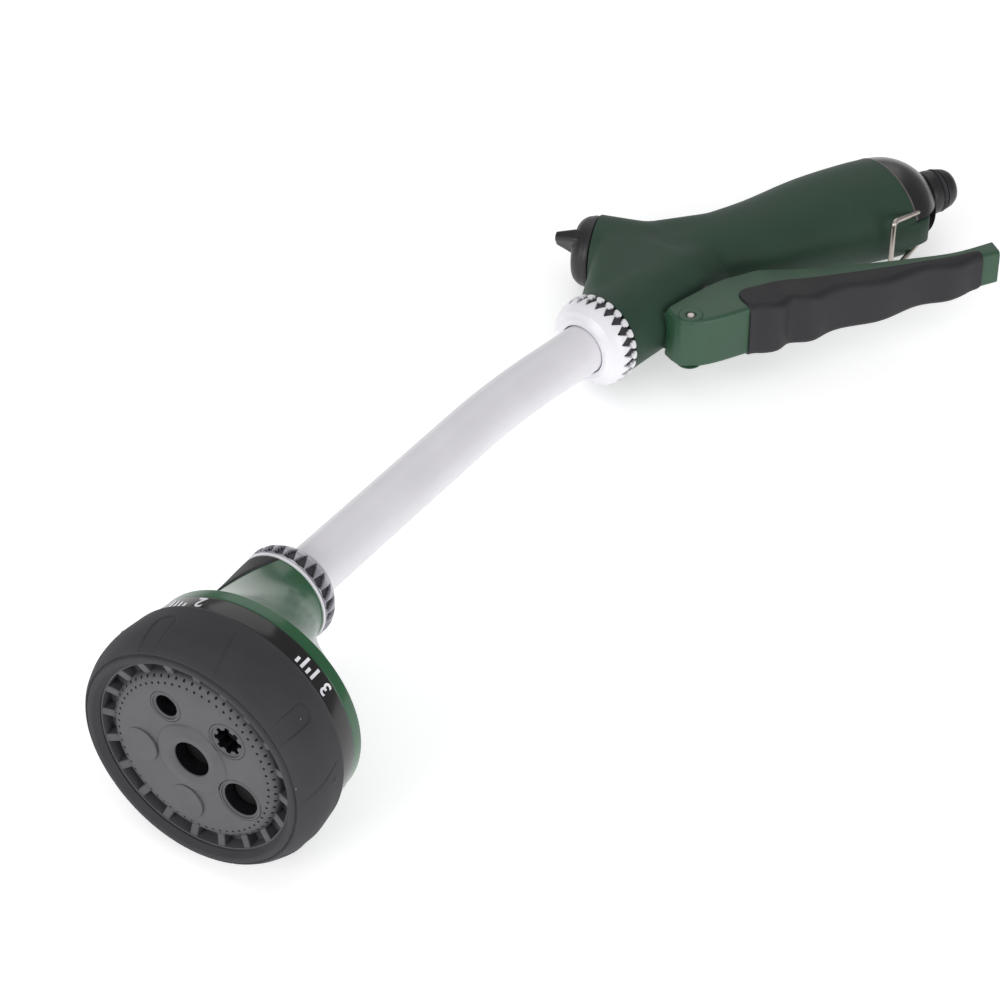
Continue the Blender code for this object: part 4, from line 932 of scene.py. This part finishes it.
# Lug under the rear end that carries the latch wire, and the ear inside the lever
latchX, latchY = places["latch"]
lugLine = easedCorners([
    (latchX + 15.5, latchY - 9.5), (latchX + 12.5, latchY - 0.5, 4), (latchX + 5.0, latchY + 3.6, 4),
    (latchX + 0.5, latchY + 4.0, 3.0), (latchX - 3.2, latchY + 0.8, 3.0), (latchX - 1.6, latchY - 7.5)], 1.5, 6)
lugRings = []
for z, inset in ((-5.0, 0.5), (-4.5, 0.0), (4.5, 0.0), (5.0, 0.5)):
    middle = Vector((latchX + 2.5, latchY - 1.5))
    ring = []
    for x, y in lugLine:
        inward = (middle - Vector((x, y))).normalized() * inset
        ring.append(Vector((x + inward.x, y + inward.y, z)))
    lugRings.append(ring)
dress(makeSolid("latchLug", skin(lugRings)), softTouchGreen, "handle", sharp=50)
pinX, pinY = places["pin"]
earLine = easedCorners([
    (pinX - 2.9, pinY - 14), (pinX - 2.6, pinY + 1.2, 1.5), (pinX, pinY + 2.7, 2.0), (pinX + 2.4, pinY + 1.0, 1.5),
    (pinX + 2.6, pinY - 14)], 0.5, 6)
dress(makeSolid("pivotEar", prism(earLine, -7.2, 7.2)), softTouchGreen, "handle",
      sharp=50)
print("handle made")


# Flow knob: skirt, waist and a wing that leans out
knobSizes = {
    "skirt": 13.4, "wingTurn": math.radians(60), "voxel": 0.34, "rounds": 7,
    "wing": [(3.0, -3.5, 12.4, 3.0), (6.5, -2.2, 12.2, 2.6), (9.0, 0.2, 11.6, 2.2), (11.8, 2.6, 10.6, 1.9),
             (14.2, 4.2, 9.8, 1.6)],
}
skirt = knobSizes["skirt"]
knobBody = spin(easedCorners([
    (0, gap + 7.7), (8.4, gap + 7.6, 1.5), (10.9, gap + 6.7, 1.8), (skirt - 0.7, gap + 4.4, 1.5),
    (skirt - 0.2, gap + 2.2, 0.8), (skirt, gap + 1.9, 0.3), (skirt, gap, 0.4), (0, gap)],
    0.5, 6, loop=False), knobFrame, 128)
wingPlace = knobFrame @ Matrix.Rotation(knobSizes["wingTurn"], 4, "Z")
wing = []
for height, near, far, half in knobSizes["wing"]:
    outline = easedCorners([(near, -half), (far, -half, 1.4), (far, half, 1.4), (near, half)], 0.8, 4)
    wing.append([wingPlace @ Vector((x, y, height + gap)) for x, y in outline])
knob = makeSolid("flowKnob", joined([knobBody, skin(wing)]))
melted(knob, knobSizes["voxel"], knobSizes["rounds"])
trimmed(knob, knobFrame @ Matrix.Rotation(math.pi, 4, "X"), -gap - 0.05)
dress(knob, blackPlastic, "flow_control", ["flow_knob"], 50)
print("knob made")


# Rear cap, hose nipple and its sealing ring
rearSizes = {
    "height": 23.0, "width": 17.2, "length": 16.0, "core": 8.2, "nipple": 8.5, "neck": 6.9, "end": 30.0,
    "bore": 4.6, "sealCircle": 1.05,
}


def capRing(behind, scale):
    spot = Vector((*places["rear"], 0)) + rearWay * behind
    core = rearSizes["core"]
    return gripRing(spot.x, spot.y, math.degrees(places["gripAngle"]), core + (rearSizes["height"] - core) * scale,
                    core + (rearSizes["width"] - core) * scale, 120)


capRings = [capRing(gap, 0.90), capRing(gap, 0.955), capRing(gap + 0.3, 0.97)]
for i in range(33):
    a = math.pi / 2 * i / 32
    capRings.append(capRing(1.4 + (rearSizes["length"] - 1.4) * math.sin(a), 0.97 * math.cos(a) ** 1.15))
rearCap = makeSolid("rearCap", skin(capRings))
# room for the lug
notch = prism(((16, -8.2), (-9.5, -8.2), (-9.5, 12), (16, 12)), -18, 5.6, places["latch"])
combined(rearCap, "DIFFERENCE", makeSolid("notch", notch))
dress(rearCap, capPlastic, "handle", ["rear_cap"], 45)
end, groove = rearSizes["end"], rearSizes["end"] - 6.2
nippleR = rearSizes["nipple"]
dress(makeSolid("hoseNipple", spin(easedCorners([
    (rearSizes["bore"], end, 0.7), (rearSizes["bore"] + 1.4, end, 0.8), (nippleR - 1.2, end - 1.9, 1.6),
    (nippleR - 0.5, groove + 1.2, 0.4), (nippleR - 2.4, groove + 1.15), (nippleR - 2.4, groove - 1.15),
    (nippleR - 0.25, groove - 1.2, 0.4), (nippleR, end - 9.0, 0.8), (nippleR, end - 11.6, 0.7),
    (rearSizes["neck"], end - 13.0, 1.2), (rearSizes["neck"], 9.2), (12.6, 9.2), (12.6, 4.5),
    (rearSizes["bore"], 4.5)], 0.25), rearFrame, 128)),
    blackPlastic, "handle", ["inlet_nipple"])
sealLine = [(nippleR - 1.2 + rearSizes["sealCircle"] * math.cos(a), groove + rearSizes["sealCircle"] * math.sin(a))
            for a in (2 * math.pi * i / 24 for i in range(24))]
dress(makeSolid("nippleSeal", spin(sealLine, rearFrame, 128)), elastomer, "handle", ["inlet_o_ring"])
# Thin bead all round the seam, greyed as a painted highlight along the seam's edge
seam = [capRing(behind, scale) for behind, scale in (
    (gap * 0.2, 0.985), (gap * 0.2, 1.0), (gap + 0.25, 1.0), (gap + 0.5, 0.985), (gap + 0.5, 0.93), (gap * 0.2, 0.93))]
bead = makeSolid("rearSeamBead", skin(seam, capped=False))
notch = prism(((16, -8.4), (-12, -8.4), (-12, 12), (16, 12)), -18, 5.8, places["latch"])
combined(bead, "DIFFERENCE", makeSolid("beadNotch", notch))
dress(bead, seamHighlight, "handle", sharp=60)
print("inlet made")


# Lever: a channel with a rounded finger side, on a steel pin
leverSizes = {
    "stations": [
        (-16.4, 15.4, -14.4, 21.0, 9.2), (-18.5, 15.2, -14.9, 25.2, 10.0), (-23.0, 15.4, -18.8, 29.2, 10.0),
        (-31.0, 16.2, -25.6, 33.0, 10.0), (-43.0, 18.0, -36.4, 37.2, 10.0), (-52.6, 21.4, -46.5, 42.0, 9.7),
        (-59.0, 24.4, -54.2, 45.6, 9.5), (-69.0, 33.7, -64.6, 50.4, 9.1), (-87.0, 47.6, -82.2, 58.5, 8.4),
        (-104.5, 60.0, -100.2, 66.8, 7.8), (-118.0, 68.3, -114.4, 73.4, 7.3), (-132.5, 73.8, -128.8, 80.2, 6.9)],
    "corner": 1.7, "topEase": 0.5, "wall": 2.1, "steps": 132, "padFirst": 4, "padLast": 10.55, "padProud": 0.85,
    "padCorner": 3.0, "padSteps": 150, "waves": 4, "pinBore": 1.75,
}


def leverSection(top, foot, width, corner, steps=6):
    # One section: eased upper edges, and rounder ones along the fingers
    down = (foot - top).normalized()
    side = Vector((0, 0, 1))
    topEase = leverSizes["topEase"]
    points = []
    for sign in (1, -1):
        edge = []
        for i in range(4):
            edge.append(top + down * (topEase * (i / 3) ** 1.5)
                        + side * sign * (width - topEase * (1 - (i / 3)) ** 1.5))
        for i in range(steps + 1):
            a = math.pi / 2 * i / steps
            edge.append(foot - down * corner * (1 - math.sin(a)) + side * sign * (width - corner * (1 - math.cos(a))))
        points.append(edge)
    return points[0] + points[1][::-1]


leverRun = throughPoints(leverSizes["stations"], leverSizes["steps"])
lastStation = len(leverSizes["stations"]) - 1


def leverAt(position):
    # The lever's station at a place counted in its given stations
    at = max(0.0, min(float(leverSizes["steps"]), position / lastStation * leverSizes["steps"]))
    k = min(int(at), leverSizes["steps"] - 1)
    station = leverRun[k].lerp(leverRun[k + 1], at - k)
    return Vector((station[0], station[1], 0)), Vector((station[2], station[3], 0)), station[4]


def leverSkin(growTop, growFoot, growWide, corner, first, last, count=120):
    # The lever's sections between two stations, grown or shrunk
    rings = []
    for i in range(count + 1):
        top, foot, width = leverAt(first + (last - first) * i / count)
        down = (foot - top).normalized()
        rings.append(leverSection(top - down * growTop, foot + down * growFoot, width + growWide, corner))
    return rings


lever = makeSolid("squeezeLever", skin(leverSkin(0, 0, 0, leverSizes["corner"], 0, lastStation)))
wall = leverSizes["wall"]
hollow = makeSolid("hollow", skin(leverSkin(6, -wall, -wall, 1.2, 2, lastStation - 1, 60)))
earRoom = makeSolid("earRoom", prism((
    (-3.6, -22), (-3.6, 1.6), (-1.6, 3.3), (1.2, 3.3), (3.0, 1.4), (3.1, -22)), -7.7, 7.7, places["pin"]))
boreLine = [(0, 20), (leverSizes["pinBore"], 20), (leverSizes["pinBore"], -20), (0, -20)]
pinBore = makeSolid("pinBore", spin(boreLine, flatFrame(pinX, pinY), 48))
combined(lever, "DIFFERENCE", hollow, earRoom, pinBore, solver="MANIFOLD")
dress(lever, erodedGreen, "lever", ["trigger"], 40)
# Raised rings round the pin's ends and the pin itself
for name, sign in (("pinBossUpper", 1), ("pinBossLower", -1)):
    place = flatFrame(pinX, pinY, sign * 9.9)
    dress(makeSolid(name, spin(easedCorners([
        (1.9, sign * 0.05), (2.1, sign * 0.35, 0.2), (3.9, sign * 0.5, 0.3), (4.6, sign * 0.05, 0.2),
        (4.6, -sign * 0.4), (1.9, -sign * 0.4)], 0.2), place, 72)), erodedGreen, "lever",
        sharp=50)
dress(makeSolid("pivotPin", spin(easedCorners([
    (0, 10.35), (1.1, 10.3, 0.3), (1.5, 10.0, 0.2), (1.5, -10.0, 0.2), (1.1, -10.3, 0.3), (0, -10.35)],
    0.2, loop=False), flatFrame(pinX, pinY), 48)), steel, "handle", ["trigger_pin"])


def roundEnd(share):
    # A quarter circle's rise from 0 to 1
    return math.sqrt(max(0.0, 1 - (1 - share) ** 2))


# Finger pad: wraps the lever's lower edge, with waves for the fingers
padRings = []
first, last = leverSizes["padFirst"], leverSizes["padLast"]
side = Vector((0, 0, 1))
corner = leverSizes["padCorner"]
for i in range(leverSizes["padSteps"] + 1):
    t = i / leverSizes["padSteps"]
    top, foot, width = leverAt(first + (last - first) * t)
    down = (foot - top).normalized()
    tall = (foot - top).length
    ends = min(1.0, t / 0.012, (1 - t) / 0.02)
    soft = roundEnd(ends)
    rise = roundEnd(min(1.0, t / 0.075))
    fall = roundEnd(min(1.0, (1 - t) / 0.05))
    # how far up the flank the pad reaches
    cover = tall * (0.30 + 0.26 * rise) * (0.72 + 0.28 * fall)
    wave = 0.5 - 0.5 * math.cos(2 * math.pi * leverSizes["waves"] * t)
    taper = min(1.0, t / 0.06, (1 - t) / 0.06)
    reach = 0.85 + 2.3 * wave * taper
    swell = 0.25 + (leverSizes["padProud"] - 0.25) * soft
    edge = foot - down * cover
    half = width + swell
    one = []
    for sign in (1, -1):
        flank = []
        for j in range(5):
            q = j / 4
            flank.append(edge + down * (0.8 * q) + side * sign * (half - (swell + 0.2) * (1 - q) ** 2))
        for j in range(1, 8):
            q = j / 8
            bulge = 0.35 * math.sin(math.pi * q) * (wave - 0.35) * taper
            flank.append((edge + down * 0.8).lerp(foot + down * (reach - corner), q)
                         + side * sign * (half + bulge * soft))
        for j in range(9):
            a = math.pi / 2 * j / 8
            flank.append(foot + down * (reach - corner * (1 - math.sin(a)))
                         + side * sign * (half - corner * (1 - math.cos(a))))
        one.append(flank)
    padRings.append(one[0] + one[1][::-1])
pad = makeSolid("fingerPad", skin(padRings))
padRoom = makeSolid("padRoom", skin(leverSkin(6, 0.02, 0.02, leverSizes["corner"], 3, lastStation, 120)))
combined(pad, "DIFFERENCE", padRoom, solver="MANIFOLD")
dress(pad, padElastomer, "lever", ["trigger_grip"], 50)
print("lever made")


# Latch wire: a U whose ends turn into the lug
latchSizes = {
    "arm": 20.5, "across": 11.9, "hip": 6.6, "hook": 1.4, "bend": 2.6, "wire": 1.0, "rest": math.radians(3.4),
}


def roundedPath(corners, bend, steps=10):
    path = [Vector(corners[0])]
    for i in range(1, len(corners) - 1):
        here = Vector(corners[i])
        first = here + (Vector(corners[i - 1]) - here).normalized() * bend
        last = here + (Vector(corners[i + 1]) - here).normalized() * bend
        path += rounded(first, here, last, steps)
    path.append(Vector(corners[-1]))
    return path


arm, wide, hip, hook = (latchSizes[key] for key in ("arm", "across", "hip", "hook"))
latchPath = roundedPath([
    (0, 0, hook), (0, 0, hip), (arm, 0, wide), (arm, 0, -wide), (0, 0, -hip), (0, 0, -hook)], latchSizes["bend"])
turn = Matrix.Rotation(latchSizes["rest"], 3, "Z")
latchPath = [turn @ spot + Vector((latchX, latchY, 0)) for spot in latchPath]
latchWire = makeSolid("latchWire", skin(sweep(latchPath, latchSizes["wire"], 28, Vector((0, 1, 0)))))
dress(latchWire, steel, "latch", ["latch_wire"], 60)
print("latch made")


# Floor, light and camera
studio = {
    "floor": "#f4f4f5", "floorHalf": 6, "floorLevel": -0.0004, "floorGlow": 0.46, "world": 0.36,
    # each lamp: its place, what it looks at, its size and its power
    "lamps": {
        "leftLight": ((1.6, -0.15, 0.8), (0.05, 0, 0.04), 0.9, 12.5),
        "rightLight": ((0.25, 1.6, 0.6), (0.05, 0, 0.04), 0.9, 9.0),
        "backLight": ((-0.95, -0.95, 1.05), (0.05, 0, 0.04), 1.3, 4.5),
        "topLight": ((0.1, 0.1, 1.7), (0.05, 0, 0.0), 1.6, 3.0),
    },
    "lens": 107.9, "sensor": 36.0, "eye": (672.55, 556.28, 604.09),
    "forward": (-0.58706, -0.52836, -0.61334), "right": (-0.66635, 0.74563, -0.00452),
}
floorMesh = bpy.data.meshes.new("floor")
wide, level = studio["floorHalf"], studio["floorLevel"]
floorMesh.from_pydata([(-wide, -wide, level), (wide, -wide, level), (wide, wide, level), (-wide, wide, level)], [],
                      [(0, 1, 2, 3)])
floor = bpy.data.objects.new("floor", floorMesh)
bpy.context.scene.collection.objects.link(floor)
floorPaint = bpy.data.materials.new("paleStudioPaint")
floorPaint.use_nodes = True
floorShader = floorPaint.node_tree.nodes["Principled BSDF"]
floorShader.inputs["Base Color"].default_value = linear(studio["floor"])
floorShader.inputs["Roughness"].default_value = 0.9
floorShader.inputs["Specular IOR Level"].default_value = 0.0
floorShader.inputs["Emission Color"].default_value = (1, 1, 1, 1)
floorShader.inputs["Emission Strength"].default_value = studio["floorGlow"]
floorMesh.materials.append(floorPaint)

world = bpy.context.scene.world or bpy.data.worlds.new("studio")
bpy.context.scene.world = world
world.use_nodes = True
world.node_tree.nodes["Background"].inputs["Color"].default_value = (1, 1, 1, 1)
world.node_tree.nodes["Background"].inputs["Strength"].default_value = studio["world"]
bpy.context.scene.view_settings.view_transform = "Standard"


def softbox(name, at, aim, size, power):
    lamp = bpy.data.lights.new(name, "AREA")
    lamp.size = size
    lamp.energy = power
    item = bpy.data.objects.new(name, lamp)
    bpy.context.scene.collection.objects.link(item)
    item.location = at
    item.rotation_euler = (Vector(aim) - Vector(at)).to_track_quat("-Z", "Y").to_euler()


for name, lamp in studio["lamps"].items():
    softbox(name, *lamp)

camera = bpy.data.cameras.new("camera")
camera.lens = studio["lens"]
camera.sensor_width = studio["sensor"]
camera.clip_start = 0.01
eye = bpy.data.objects.new("camera", camera)
bpy.context.scene.collection.objects.link(eye)
look = Vector(studio["forward"]).normalized()
right = Vector(studio["right"])
right = (right - look * right.dot(look)).normalized()
view = Matrix((right, right.cross(look), -look)).transposed().to_4x4()
view.translation = Vector(studio["eye"]) * mm
eye.matrix_world = wandToWorld @ view
bpy.context.scene.camera = eye
print("studio made")

bpy.context.view_layer.update()
